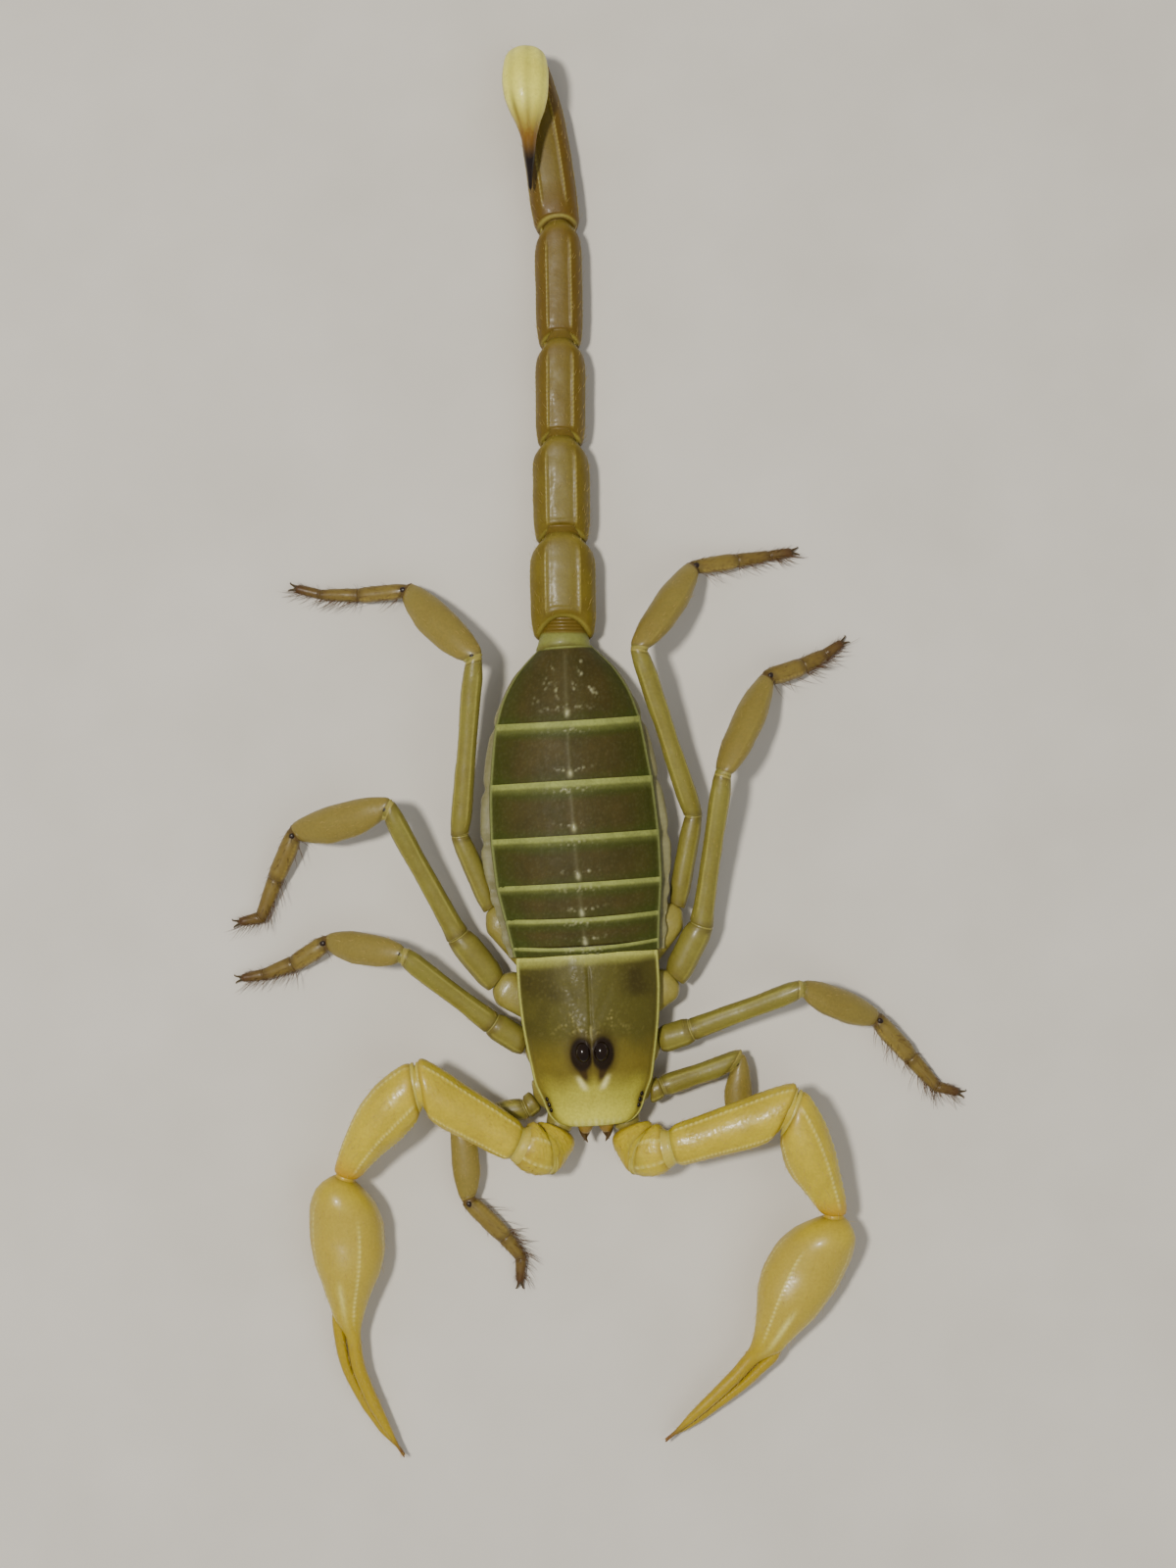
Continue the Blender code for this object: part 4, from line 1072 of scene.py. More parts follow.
def furrows(x, ahead):
    """Height of the carapace's middle furrow and of the valleys beside it at the rear."""
    furrow = bell(x, 0.1) * ease(0.1, 0.6, ahead) * ease(4.3, 3.4, ahead)
    furrow = np.maximum(furrow, bell(x, 0.12) * ease(6.2, 6.8, ahead) * ease(9.0, 8.2, ahead) * 0.8)
    aside = 0.35 + 0.42 * np.maximum(3.4 - ahead, 0)
    valley = bell(abs(x) - aside, 0.28) * ease(0.7, 1.5, ahead) * ease(3.9, 3.0, ahead)
    return -0.06 * furrow - 0.03 * valley


def granule_ridge(x, ahead, flat):
    """The ridge of granules behind the median eyes, its two arms and the line between them."""
    behind_eyes = bell(ahead - 3.75 - 0.25 * np.cos(x * 2.4), 0.2) * bell(x, 1.5) ** 0.5
    arms = bell(abs(x) - 1.05 - 0.1 * (4.0 - ahead), 0.16) * ease(2.6, 3.0, ahead) * ease(4.2, 3.8, ahead)
    ridge = np.maximum(0.7 * behind_eyes, arms) * pebbles(flat, 0.22, share=0.5, seed=23)
    return np.maximum(ridge, 0.7 * bell(x, 0.06) * ease(3.5, 3.7, ahead) * ease(4.5, 4.1, ahead))


def front_lobes(x, ahead, flat, front):
    """The carapace's thick front edge, and the knobs on it."""
    lobes = bell(front - ahead - 0.16, 0.22) * (0.55 + 0.45 * bell(x, 1.5))
    waves = np.cos((x + 0.08 * swell(flat, 0.6, seed=71)) * 2 * math.pi / 0.36)
    knobs = (0.5 + 0.5 * waves) * ease(1.9, 1.2, abs(x)) * (0.5 + 0.5 * swell(flat, 0.5, seed=67))
    return lobes, knobs


def carapace_marks(x, ahead, u, flat):
    """The carapace's patches of colour, which have no height of their own."""
    cloud = swell(flat, 0.9, seed=31)
    aside = 0.62 - 0.3 * np.maximum(ahead - 6.0, 0)
    tongue = bell(abs(x) - aside, 0.22) * ease(5.7, 6.0, ahead) * ease(7.2, 6.5, ahead)
    along = ahead - 6.85
    spot = np.exp(-((abs(x) - 0.66 + 0.42 * along) / 0.19) ** 2 - (along / 0.42) ** 4)
    blotch = np.exp(-((abs(x) - 2.75) / 1.0) ** 4 - ((ahead - 1.15) / 0.95) ** 4)
    lateral = np.exp(-((abs(u) - LATERAL_EYE_SHARE) / 0.05) ** 2) * bell(ahead - 8.1, 0.5)
    rear_band = 0.55 * ease(0.85, 0.35, ahead + 0.5 + 0.1 * cloud) + 0.4 * ease(0.45, 0.25, ahead + 0.5)
    dark, halo = eye_shades(x, ahead)
    front = (0.62 + 0.36 * ease(7.7, 8.9, ahead)) * ease(6.1, 7.7, ahead + 0.2 * cloud)
    return {
        "olive": ease(6.2, 3.7, ahead + 0.35 * cloud),
        "blotch": 0.6 * blotch + 0.3 * ease(0.1, 0.7, cloud) * ease(4.8, 3.8, ahead),
        "front": front * ease(1.02, 0.7, abs(u)),
        "rim": rear_band,
        "spot": 0.8 * spot,
        "brown": 0.8 * tongue + 0.9 * lateral + 0.5 * halo,
        "dark": dark,
    }


def carapace_relief(x, ahead, u, front):
    """(height, marks) of the carapace at places given across, ahead of the waist and as share of width."""
    flat = np.stack([x, ahead, np.zeros_like(x)], axis=-1)
    rim = ease(0.955, 0.975, abs(u))
    rough = 0.35 + 0.65 * ease(0.1, 0.6, swell(flat, 1.8, seed=9) + 0.35)
    coarse = pebbles(flat, 0.24, seed=5) * rough
    ridge = granule_ridge(x, ahead, flat)
    lobes, knobs = front_lobes(x, ahead, flat, front)
    lift = eye_mound(x, ahead) + furrows(x, ahead)
    lift += 0.03 * rim - 0.05 * bell(abs(u) - 0.94, 0.022)
    lift += 0.014 * coarse + 0.06 * ridge + lobes * (0.06 + 0.07 * knobs)
    marks = carapace_marks(x, ahead, u, flat)
    marks["rim"] = np.maximum(marks["rim"], np.maximum(0.9 * rim, 0.9 * lobes * (0.4 + 0.6 * knobs)))
    marks["spot"] = np.maximum(marks["spot"], 0.6 * lobes * knobs)
    marks["grain"] = 0.06 * coarse * ease(5, 4, ahead) + 0.7 * ridge
    return lift, marks


def carapace_point(plate, ahead, share):
    """A point of the carapace's surface and its upward normal there."""
    half, crest, edge = (plate.at(-ahead, values) for values in (plate.halves, plate.crests, plate.edges))
    centre = plate.at(-ahead, plate.centres[:, 0])
    x = share * half
    lift = carapace_relief(np.array([x]), np.array([ahead]), np.array([share]), -plate.backs[0])[0][0]
    point = np.array((centre + LEFT[0] * x, WAIST[1] - ahead + LEFT[1] * x, arch(share, crest, edge) + lift))
    slope = (crest - edge) * ARCH_POWER * abs(share) ** (ARCH_POWER - 1) / half * np.sign(share)
    return point, unit(UP + LEFT * slope)


def lateral_eyes(plate):
    for sign, (ahead, radius) in product(SIDES.values(), LATERAL_EYES):
        point, normal = carapace_point(plate, ahead, LATERAL_EYE_SHARE * sign)
        across = unit(np.cross(normal, (0.0, 1.0, 0.0)))
        sizes = (radius * 0.9, radius * 1.15, radius * 0.8)
        yield blob(point, (across, np.cross(normal, across), normal), sizes, 10, 16)


def make_carapace():
    plate = Plate("carapace")
    front, rear = plate.backs[0], plate.backs[-1]
    lip = 0.1
    backs = edge_rows(front, rear, 0.062, lip)
    shares = np.linspace(-1, 1, 151)
    rows, u = np.broadcast_arrays(backs[:, None], shares[None])
    lift, marks = carapace_relief(u * plate.at(rows, plate.halves), -rows, u, -front)
    lift -= 0.1 * (1 - np.sqrt(np.clip((rows - front) / 0.12, 0, 1)))
    thick = plate_depth(backs, shares[None], front, rear, lip, 0.55, 0.14)
    points = plate.sheet(backs, shares[None], lift, thick, 0.12)
    plate_piece("carapace", points, marks, "carapace", "shield")
    place_mesh(closed_mesh("lateral_eyes", lateral_eyes(plate)), "eye")
    for side, sign in SIDES.items():
        centre = np.mean(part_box(f"median_eye_{side}"), axis=0) / MM
        normal = unit(UP * 0.9 + LEFT * (0.42 * sign))
        forward = unit(np.cross(LEFT, UP))
        lens = blob(centre - normal * 0.45, (np.cross(normal, forward), forward, normal), MEDIAN_LENS, 24, 36)
        dress(f"median_eye_{side}", [lens], "eye", ending="lens")


# Soft body, belly and chest

SECTION_GAP = 0.15  # the trunk's sections lie further apart than this
TERGITE_REARS = (0.88, 2.45, 4.35, 7.05, 10.15, 13.6)  # rear edges behind the waist, as the next two
STERNITE_REARS = (1.9, 4.6, 7.6, 10.7, 13.9)
SPIRACLES = (3.6, 6.5, 9.6, 12.7)
ROUND = 220  # points round the soft body
BODY_ROWS = 230  # points along it
SMOOTHINGS = 6


def trunk_sections():
    """The soft body's sections: evenly spread points round each, from under the belly."""
    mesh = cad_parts["trunk"].data
    cloud = np.unique(np.round([np.array(vert.co) / MM for vert in mesh.vertices], 3), axis=0)
    depth = cloud @ np.cross(UP, LEFT)
    order = np.argsort(depth)
    sections = []
    for group in np.split(order, np.flatnonzero(np.diff(depth[order]) > SECTION_GAP) + 1):
        ring = cloud[group]
        away = ring - (ring.max(axis=0) + ring.min(axis=0)) / 2
        ring = ring[np.argsort(np.arctan2(away @ LEFT, -away[:, 2]) % (2 * math.pi))]
        under = (ring[:1] + ring[-1:]) / 2
        ring = np.concatenate([under, ring, under])
        steps = np.linalg.norm(np.diff(ring, axis=0), axis=1)
        arc = np.concatenate([[0.0], np.cumsum(steps)]) / steps.sum()
        spots = np.arange(ROUND) / ROUND
        sections.append(np.stack([np.interp(spots, arc, ring[:, axis]) for axis in range(3)], axis=-1))
    return np.array(sections)


def flank_relief(points, place, flank):
    """(height, colour share) of the folded skin between the plates of the back and of the belly. The colour
    share is the flank's own tone, darkest at the bottom of each crease as painted shade.
    """
    dent = np.max([bell(place - rear, 0.35) for rear in TERGITE_REARS], axis=0)
    wobble = 0.12 * swell(points, 0.6)
    pleats = 0.5 + 0.5 * np.cos(2 * math.pi * (place + wobble) / 0.34 + 2.2 * points[..., 2])
    creases = 0.5 + 0.5 * np.cos(2 * math.pi * (points[..., 2] + 0.5 * wobble) / 0.42)
    lift = flank * (0.07 - 0.17 * dent - 0.006 * pleats - 0.03 * creases)
    lift -= 0.015 * flank * swell(points, 0.3, seed=4)
    return lift, flank * (0.3 + 0.1 * pleats + 0.35 * creases)


def belly_slits(place, aside, half):
    """The breathing slits: across the body, in pairs."""
    across = bell(abs(aside) - 0.62 * half, 0.42)
    return across * np.max([bell(place - back - 0.25 * abs(aside) / half, 0.1) for back in SPIRACLES], axis=0)


def make_body_skin():
    sections = trunk_sections()
    backs = sections[..., 1].mean(axis=1) - WAIST[1]
    rows = np.linspace(backs[0], backs[-1], BODY_ROWS)
    points = curve(rows, backs, sections.reshape(len(backs), -1)).reshape(len(rows), ROUND, 3)
    for _ in range(SMOOTHINGS):
        points = points * 0.5 + (np.roll(points, 1, axis=1) + np.roll(points, -1, axis=1)) * 0.25
    place = rows[:, None] + np.zeros((1, ROUND))
    aside = (points - points.mean(axis=1, keepdims=True)) @ LEFT
    half = abs(aside).max(axis=1, keepdims=True)
    share = abs(aside) / half
    normals = facing(points)
    low = ease(-0.3, -0.8, normals[..., 2])
    lift, flank_tone_and_crease_shade = flank_relief(points, place, ease(0.7, 0.95, share) * ease(-0.9, -0.5, normals[..., 2]))
    groove = np.max([bell(place - rear - 0.25 * share ** 2, 0.12) for rear in STERNITE_REARS], axis=0)
    slits = belly_slits(place, aside, half)
    lift -= low * (0.09 * groove + 0.05 * bell(share - 0.8, 0.03) + 0.1 * slits)
    inside = low * ease(0.86, 0.78, share)
    bands = sum(bell(place - rear + 0.35, 0.2) for rear in STERNITE_REARS)
    # The flank colour, with painted shade in the creases and in the grooves between the belly plates.
    marks = {"flank_tone_and_crease_shade": flank_tone_and_crease_shade + 0.5 * low * groove, "plate": inside, "dark": low * slits, "band": inside * bands}
    points = above_floor(points + normals * lift[..., None])
    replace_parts(place_mesh(closed_mesh("body_skin", [(points, marks)]), "skin", "soft_cuticle"), "trunk")


# Coxae: root by the breastbone for each pair, to the left of the waist and behind it
COXA_ROOTS = {1: (0.9, -6.6), 2: (0.95, -5.2), 3: (1.0, -3.9), 4: (1.05, -2.4)}
COXA_HEIGHT = 1.62
PALP_ROOT = (1.35, -6.4, 1.45)  # to the left of the waist, behind it and up
# Chest: (behind the waist, half width, underside, top)
CORE = ((-7.6, 2.3, 1.5, 3.1), (-5.5, 2.75, 1.3, 3.4), (-3.5, 3.05, 1.25, 3.7), (-1.5, 3.2, 1.4, 3.8),
        (0.9, 3.1, 1.7, 3.7))


def head_line(back, aside=0.0, up=0.0):
    """A place beside the middle of the body ahead of the waist."""
    return WAIST + np.array((aside - 0.0507 * back, back, up))


def chest_lump(places, halves, height, columns, step, lumps, **shape):
    """A low lump through places in the middle of the chest."""
    loft = Loft.through([(*place, half, height) for place, half in zip(places, halves)])
    return tube(loft, columns, step, (), lumps, (0.5, 0.02), lip=0.2, **shape)


def chest_middle():
    """The breastbone, the two flaps behind it and the pectines' base plate."""
    heart = [head_line(back, up=1.12) for back in (-5.0, -4.2, -3.3, -2.6)]
    yield chest_lump(heart, (0.2, 0.6, 0.82, 0.62), 0.3, 40, 0.07, (0.16, 0.01), end=0.6, square=2.6)
    for aside in (-0.42, 0.42):
        gate = [head_line(back, aside, 0.98) for back in (-2.1, -1.6, -1.1, -0.7)]
        yield chest_lump(gate, (0.36, 0.44, 0.42, 0.24), 0.26, 40, 0.06, (0.16, 0.006), end=0.5)
    base = [head_line(back, up=0.98) for back in (-0.5, 0.0, 0.5)]
    yield chest_lump(base, (0.8, 0.95, 0.8), 0.26, 44, 0.07, (0.16, 0.008), end=0.6)


def chest_walls():
    """The chest's core, and the skin inside the carapace's edge."""
    core = [(*head_line(back, up=(low + high) / 2), half, (high - low) / 2) for back, half, low, high in CORE]
    yield tube(Loft.through(core), 90, 0.1, (), (0.2, 0.01), (0.8, 0.05), lip=0.5, end=0.8, square=2.6)
    shield = Plate("carapace")
    side_skin = []
    for back in np.linspace(shield.backs[0] + 0.9, shield.backs[-1] + 0.5, 9):
        half, edge = shield.at(back, shield.halves), shield.at(back, shield.edges)
        x = shield.at(back, shield.centres[:, 0])
        side_skin.append((x, back + WAIST[1], edge - 0.5, half - 0.14, 0.42))
    yield tube(Loft.through(side_skin), 120, 0.1, (), (0.2, 0.01), (0.5, 0.04), lip=0.3, end=0.85, square=3.2)


def reach_out(root, end, shares, widths, heights):
    """A straight line from root to end, with its half width and height at each share of the way."""
    places = root + (end - root) * np.array(shares)[:, None]
    return Loft.through([(*place, wide, high) for place, wide, high in zip(places, widths, heights)])


def chest_coxa(loops, out, back, sign):
    """The base of one leg, from the breastbone to the leg's first node."""
    root = head_line(back, out * sign, COXA_HEIGHT)
    end = loops[0].mean(axis=0)
    wide = 0.46 * np.ptp(loops[0] @ unit(np.cross(end - head_line(back), UP)))
    sizes = np.array((0.62, 0.86, 1.06, 1.08, wide))
    loft = reach_out(root, end, (0.0, 0.25, 0.6, 0.85, 1.0), sizes, 0.3 + sizes * 0.42)
    keels = keels_at((-35, -145), 0.04)
    return tube(loft, 72, 0.09, keels, (0.18, 0.012), (0.7, 0.03), lip=0.3, end=0.7, square=2.8)


def chest_palp_base(loops, sign):
    """The base of one pedipalp."""
    out, back, up = PALP_ROOT
    root = head_line(back, out * sign, up)
    end = loops[0].mean(axis=0)
    sizes = np.array((0.6, 0.8, 0.82, 0.74))
    loft = reach_out(root, end, (0.0, 0.3, 0.7, 1.0), sizes, sizes * 0.9)
    return tube(loft, 60, 0.09, keels_at((-90,), 0.03), (0.18, 0.014), (0.7, 0.03), lip=0.3, end=0.7)


def make_chest():
    grids = [*chest_walls()]
    for side, sign in SIDES.items():
        for pair, (out, back) in COXA_ROOTS.items():
            grids.append(chest_coxa(node_loops(f"leg_{pair}_{side}_femur", BODY_MIDDLE), out, back, sign))
        grids.append(chest_palp_base(node_loops(f"pedipalp_{side}_trochanter", BODY_MIDDLE), sign))
    dress("chest", [*grids, *chest_middle()], "chest", "soft_cuticle")


PECTINE_TEETH = 27
PECTINE_LOBES = 9


def make_pectine(side, sign):
    spine = Loft.from_loops(node_loops(f"pectine_{side}", WAIST))
    keels = keels_at((90 + 60 * sign,), 0.02)
    points, marks, *_ = tube(spine, 36, 0.07, keels, (0.14, 0.01), (0.4, 0.02), lip=0.15, end=0.6, size=0.6)
    grids = [(points + (0.0, -0.16, 0.0), marks)]
    along = spine.tangents[0]
    rearward = unit(np.cross(UP, along) * sign)
    axes = (along, rearward * np.sign(rearward[1]), UP)
    for share in np.linspace(0.04, 0.98, PECTINE_TEETH):
        centre, half, *_ = spine.spot(share * spine.length)
        size = 0.36 * (1 - 0.35 * share) * half[0] / 0.62 + 0.12
        grids.append(blob(centre + axes[1] * half[0] * 0.42, axes, (0.072, size, 0.16), 9, 12, keel=0.6))
    for share in np.linspace(0.06, 0.92, PECTINE_LOBES):
        centre, half, *_ = spine.spot(share * spine.length)
        centre = centre + axes[1] * half[0] * 0.1 - UP * 0.04
        grids.append(blob(centre, axes, (0.2, 0.14, 0.17), 8, 12, keel=0.3))
    dress(f"pectine_{side}", grids, "chest", "soft_cuticle", "comb")


JAW_FINGERS = ((0.2, -0.02, 0.62, 0.22), (-0.16, -0.12, 0.5, 0.18))  # each (aside, drop, reach, radius)


def jaw_finger(front, along, outward, aside, drop, reach, size):
    """A curved finger of a chelicera, with its teeth."""
    share = np.linspace(0, 1, 7)[:, None]
    curl = np.sign(aside)
    path = front + along * ((0.35 + reach) * share - 0.4) + outward * (aside - 0.3 * curl * share ** 2)
    path = path + UP * (drop - 0.32 * share ** 2)
    radii = size * (1 - share[:, 0]) ** 0.7 + 0.012
    yield cone(path, radii, 14, dark=0.92)
    for k in (2, 3, 4):
        inward = outward * radii[k] * -0.8 * curl
        yield blob(path[k] + inward, (along, LEFT, UP), (0.05, 0.06, 0.05), 6, 8, dark=1.0)


def make_chelicera(side, sign):
    palm = Loft.from_loops(node_loops(f"chelicera_{side}", WAIST))
    palm.halves = palm.halves * (1.24, 1.2)
    palm.centres = palm.centres + LEFT * sign * 0.1
    keels = keels_at((90 - 40 * sign,), 0.02)
    hand = tube(palm, 64, 0.06, keels, (0.16, 0.01), (0.5, 0.02), lip=0.5, end=0.45)
    hand[1]["warm"] = 0.45 * ease(0.45, 1.0, share_of(hand))
    hand[1]["dark"] = 0.5 * ease(0.72, 1.0, share_of(hand))
    grids = [hand]
    for finger in JAW_FINGERS:
        grids += jaw_finger(palm.centres[-1], palm.tangents[0], LEFT * sign, *finger)
    dress(f"chelicera_{side}", grids, "chest", "chelicera", "jaw")


# Pedipalps

FINGER_TAPER = (0.8, 0.26)  # from this share of a finger it narrows to this share of its width
PALP_HAIRS = {"length": (0.18, 0.5), "radius": 0.01, "lean": 0.68}
PALM_LOOP = 6  # the hand's loop in the middle of the palm
FINGER_LOOP = 8  # the hand's loop beside the movable finger's root


def finger_teeth(loft, inward, span, count, size):
    """A row of small teeth along a finger's inner edge."""
    start, least = FINGER_TAPER
    for k, share in enumerate(np.linspace(*span, count)):
        centre, half, *axes = loft.spot(share * loft.length)
        grow = size * (1.6 if k % 7 == 3 else 1.0)
        edge = half[0] * (1 - (1 - least) * float(ease(start, 1.0, share)))
        yield blob(centre + axes[1] * inward * edge * 0.97, axes, (grow, grow * 1.1, grow), 5, 8, tooth=1.0)


def thumb_root(loops, palm):
    """Two more loops that carry the movable finger back into the palm."""
    step = unit(loops[0].mean(axis=0) - loops[1].mean(axis=0))
    inward = palm.mean(axis=0) - loops[0].mean(axis=0)
    inward = inward - step * (inward @ step)
    return [loops[0] + step * reach + inward * share for reach, share in ((1.5, 0.62), (0.7, 0.25))]


def sign_of_inner(loft, other):
    """Which side of this finger the other finger lies on."""
    centre, _, _, across, _ = loft.spot(0.75 * loft.length)
    gaps = other.centres - centre
    nearest = gaps[np.linalg.norm(gaps, axis=1).argmin()]
    return float(np.sign(nearest @ across))


def palp_shoulder(stem, root, knob):
    """The pedipalp's first node. Like the next two, it returns (surface, count of hairs) pairs."""
    low = tube(root, 80, 0.08, (), (0.24, 0.035), lip=0.35, end=0.7)
    high = tube(knob, 80, 0.08, keels_at((60, 120), 0.04, 0.08, 0.24), (0.24, 0.045), lip=0.4, end=0.66)
    grids = [low, high, bridge(root, knob, 0.3, 0.3, 0.92), knuckle(root, knob, 0.97)]
    dress(stem + "_trochanter", grids, "pedipalp")
    return (low, 70), (high, 90)


def palp_arm(stem, knob, femur, patella):
    keels = keels_at((90 + 52, 90 - 52), 0.08, 0.08, 0.26) + keels_at((-45, -135), 0.05)
    arm = tube(femur, 110, 0.075, keels, (0.2, 0.022), lip=0.5, end=0.74, far=(0.6, 0.72))
    grids = [arm, bridge(knob, femur, 0.4, 0.4, 0.93, 56), knuckle(femur, patella, 0.98)]
    dress(stem + "_femur", grids, "pedipalp")
    keels = keels_at((90 + 30, 90 - 60), 0.07, 0.08, 0.26) + [Keel(170, 0.06, 0.1, 0.36)]
    keels += keels_at((-60, -120), 0.04)
    elbow = tube(patella, 110, 0.075, keels, (0.2, 0.018), lip=0.6, end=0.72, far=(0.3, 0.8))
    share = share_of(elbow)
    elbow[1]["warm"] = 0.7 * ease(0.78, 1.0, share) + 0.25 * ease(0.15, 0.0, share)
    dress(stem + "_patella", [elbow, bridge(femur, patella, 0.45, 0.45, 0.92, 56)], "pedipalp")
    return (arm, 220), (elbow, 220)


def palp_hand(stem, patella, hand, finger):
    inner = sign_of_inner(hand, finger)
    keels = [Keel(90 + 22 * inner, 0.03, 0.08, 0.3, (0.14, 0.5))]
    keels += keels_at((90 - 60 * inner, 90 + 75 * inner), 0.02, 0.07, 0.34, (0.1, 0.5))
    # The smooth ridge along the top of the palm takes the pale keel colour: painted highlight.
    keels += [Keel(90 - 12 * inner, 0.015, 0.16, 9.0, (0.36, 0.62)), *keels_at((-60, -120), 0.03)]
    palm = tube(hand, 128, 0.085, keels, (0.26, 0.006), (1.2, 0.03), lip=1.4, end=0.6, taper=FINGER_TAPER,
                far=(0.2, 0.7))
    share = share_of(palm)
    palm[1]["hand"] = 0.9 * ease(0.02, 0.12, share) * ease(0.55, 0.4, share)
    palm[1]["honey"] = ease(0.42, 0.62, share)
    palm[1]["tip"] = ease(0.9, 0.99, share)
    wrist, _ = bridge(patella, hand, 0.5, 0.3, 0.7, 56)
    teeth = finger_teeth(hand, inner, (0.58, 0.93), 46, 0.028)
    dress(stem + "_hand", [palm, (wrist, {"warm": 0.5}), *teeth], "pedipalp")
    keels = (Keel(80, 0.02, 0.07), Keel(120, 0.015, 0.07))
    thumb = tube(finger, 64, 0.07, keels, (0.2, 0.004), (0.8, 0.015), lip=0.3, end=0.5, taper=FINGER_TAPER)
    thumb[1].update(honey=1.0, dark=0.35, tip=ease(0.86, 0.99, share_of(thumb)))
    teeth = finger_teeth(finger, sign_of_inner(finger, hand), (0.22, 0.92), 40, 0.026)
    dress(stem + "_finger", [thumb, *teeth], "pedipalp", "finger")
    return (palm, 400), (thumb, 150)


def make_pedipalp(side):
    stem = f"pedipalp_{side}"
    first, second, third, fourth = chain(stem, ("trochanter", "femur", "patella", "hand"), BODY_MIDDLE)
    fifth = node_loops(stem + "_finger", fourth[FINGER_LOOP].mean(axis=0))
    root, knob = Loft.from_loops(first[:3]), Loft.from_loops(first[2:])
    femur, patella = Loft.from_loops(second), Loft.from_loops(third, straight=False)
    femur.halves = femur.halves * (0.86 + 0.14 * ease(0.0, 3.2, femur.arc))[:, None]
    hand = Loft.from_loops(np.delete(fourth, FINGER_LOOP + 1, axis=0), straight=False)
    finger = Loft.from_loops(np.array([*thumb_root(fifth, fourth[PALM_LOOP]), *fifth]), straight=False)
    coat = Coat(f"pedipalp_{side}_hairs", "hair", "pedipalp", 6)
    surfaces = [*palp_shoulder(stem, root, knob), *palp_arm(stem, knob, femur, patella),
                *palp_hand(stem, patella, hand, finger)]
    for surface, count in surfaces:
        coat.over(surface, count, **PALP_HAIRS)
    coat.finish()


# Tail

TAIL_KEEL = 26  # degrees from the top line to each upper keel
# Each tail piece: how far its front and rear edges bow towards the tip on top, its rear end's (lip, size),
# and how pale its trough and how brown the piece is
TAIL_LOOKS = (
    ((1.25, 0.95), (0.8, 0.86), 0.75, 0.1),
    ((0.8, 0.88), (0.75, 0.86), 0.7, 0.22),
    ((0.74, 0.84), (0.7, 0.86), 0.45, 0.55),
    ((0.7, 0.8), (0.7, 0.86), 0.35, 0.7),
    ((0.65, -0.1), (0.4, 0.8), 0.55, 0.8),
)
# The soft dome behind the last plate: (behind the tail's root, half width, underside, top)
WAIST_DOME = ((-0.9, 1.7, 0.6, 3.42), (-0.2, 1.52, 0.35, 3.3), (0.4, 1.36, 0.25, 2.98),
              (1.0, 1.24, 0.25, 2.66), (1.7, 1.1, 0.3, 2.3))
TAIL_HAIRS = {"length": (0.2, 0.45), "radius": 0.01, "lean": 0.7}
STING_HAIRS = {"length": (0.2, 0.4), "radius": 0.01, "lean": 0.65}
STING_ROOT = WAIST + np.array((-3.46, 51.75, 0.0))
NECK_ROOT = 0.6  # how far the sting's neck goes down into the last tail segment


def hinge_knob(loft, degrees):
    """The small knob at a front corner of a tail piece, tinted paler with the rim colour as a painted
    highlight.
    """
    tables = (loft.centres, loft.halves, loft.tangents, loft.across)
    centre, half, along, across = (loft.at(0.2, table) for table in tables)
    axes = (along, across, np.cross(across, along))
    turn = math.radians(degrees)
    centre = centre + axes[1] * half[0] * math.cos(turn) * 0.94 + axes[2] * half[1] * math.sin(turn)
    return blob(centre, axes, (0.22, 0.11, 0.11), 10, 14, rim=0.3)


def waist_dome(root):
    """The soft skin between the last plate and the tail."""
    soft = Loft.through([(root[0], root[1] + back, (top + low) / 2, half, (top - low) / 2)
                         for back, half, low, top in WAIST_DOME])
    points, marks, *_ = tube(soft, 64, 0.07, (), (0.2, 0.008), (0.5, 0.03), lip=0.4, end=0.6)
    behind = points[..., 1] - root[1]
    points[..., 2] -= 0.03 * ease(0.3, 0.5, behind) * (1 + np.cos(behind * 2 * math.pi / 0.2))
    marks.update(waist=ease(0.5, 0.3, behind), soft=0.9 * ease(0.35, 0.55, behind))
    return points, marks


def tail_surface(loft, number, bows, far, pale, brown):
    """A tail piece with its keels, the trough between the upper ones, its pale rims with a painted highlight
    on top, and painted shade along its front edge on top.
    """
    keels = keels_at((90 - TAIL_KEEL, 90 + TAIL_KEEL), 0.055, 0.055, 0.26, (0.14, 0.86), 0.3)
    keels += keels_at((14, 166), 0.05, 0.07, 0.28, (0.06, 0.88), 0.15)
    keels += keels_at((-22, -158, -68, -112), 0.04, 0.08, 0.3, (0.06, 0.88), 0.3)
    if number < 3:
        keels += keels_at((-4, 184), 0.035, 0.08, 0.3, (0.45, 0.88), 0.3)
    body = tube(loft, 120, 0.078, keels, (0.22, 0.008), (1.0, 0.03), lip=0.2, end=0.93, square=2.5, bows=bows,
                far=far)
    points, marks, places, angles = body
    rows = places[:, None]
    share = rows / loft.length
    dorsal = ease(0.0, 0.8, np.sin(angles))
    away = abs(turned(angles, 90))
    trough = ease(math.radians(TAIL_KEEL + 3), math.radians(TAIL_KEEL - 8), away)
    trough = trough * ease(0.1, 0.24, share) * ease(0.94, 0.8, share)
    points[..., 2] -= 0.09 * trough
    marks["seam"] *= 0.5
    marks["keel"] *= 0.8
    marks["pale"] = pale * trough * (0.8 + 0.2 * swell(points, 0.5, seed=53))
    # Painted shade along the front edge on top, where the piece meets the one before.
    marks["notch"] = 0.45 * dorsal * ease(0.16, 0.05, rows) * bell(away, 1.1)
    # Paler rims on top at the front edge and the rear end: painted highlight.
    marks["rim"] = dorsal * (0.9 * bell(rows - 0.2, 0.12) + 0.3 * ease(0.7, 0.2, loft.length - rows))
    marks["deep"] = brown
    return body


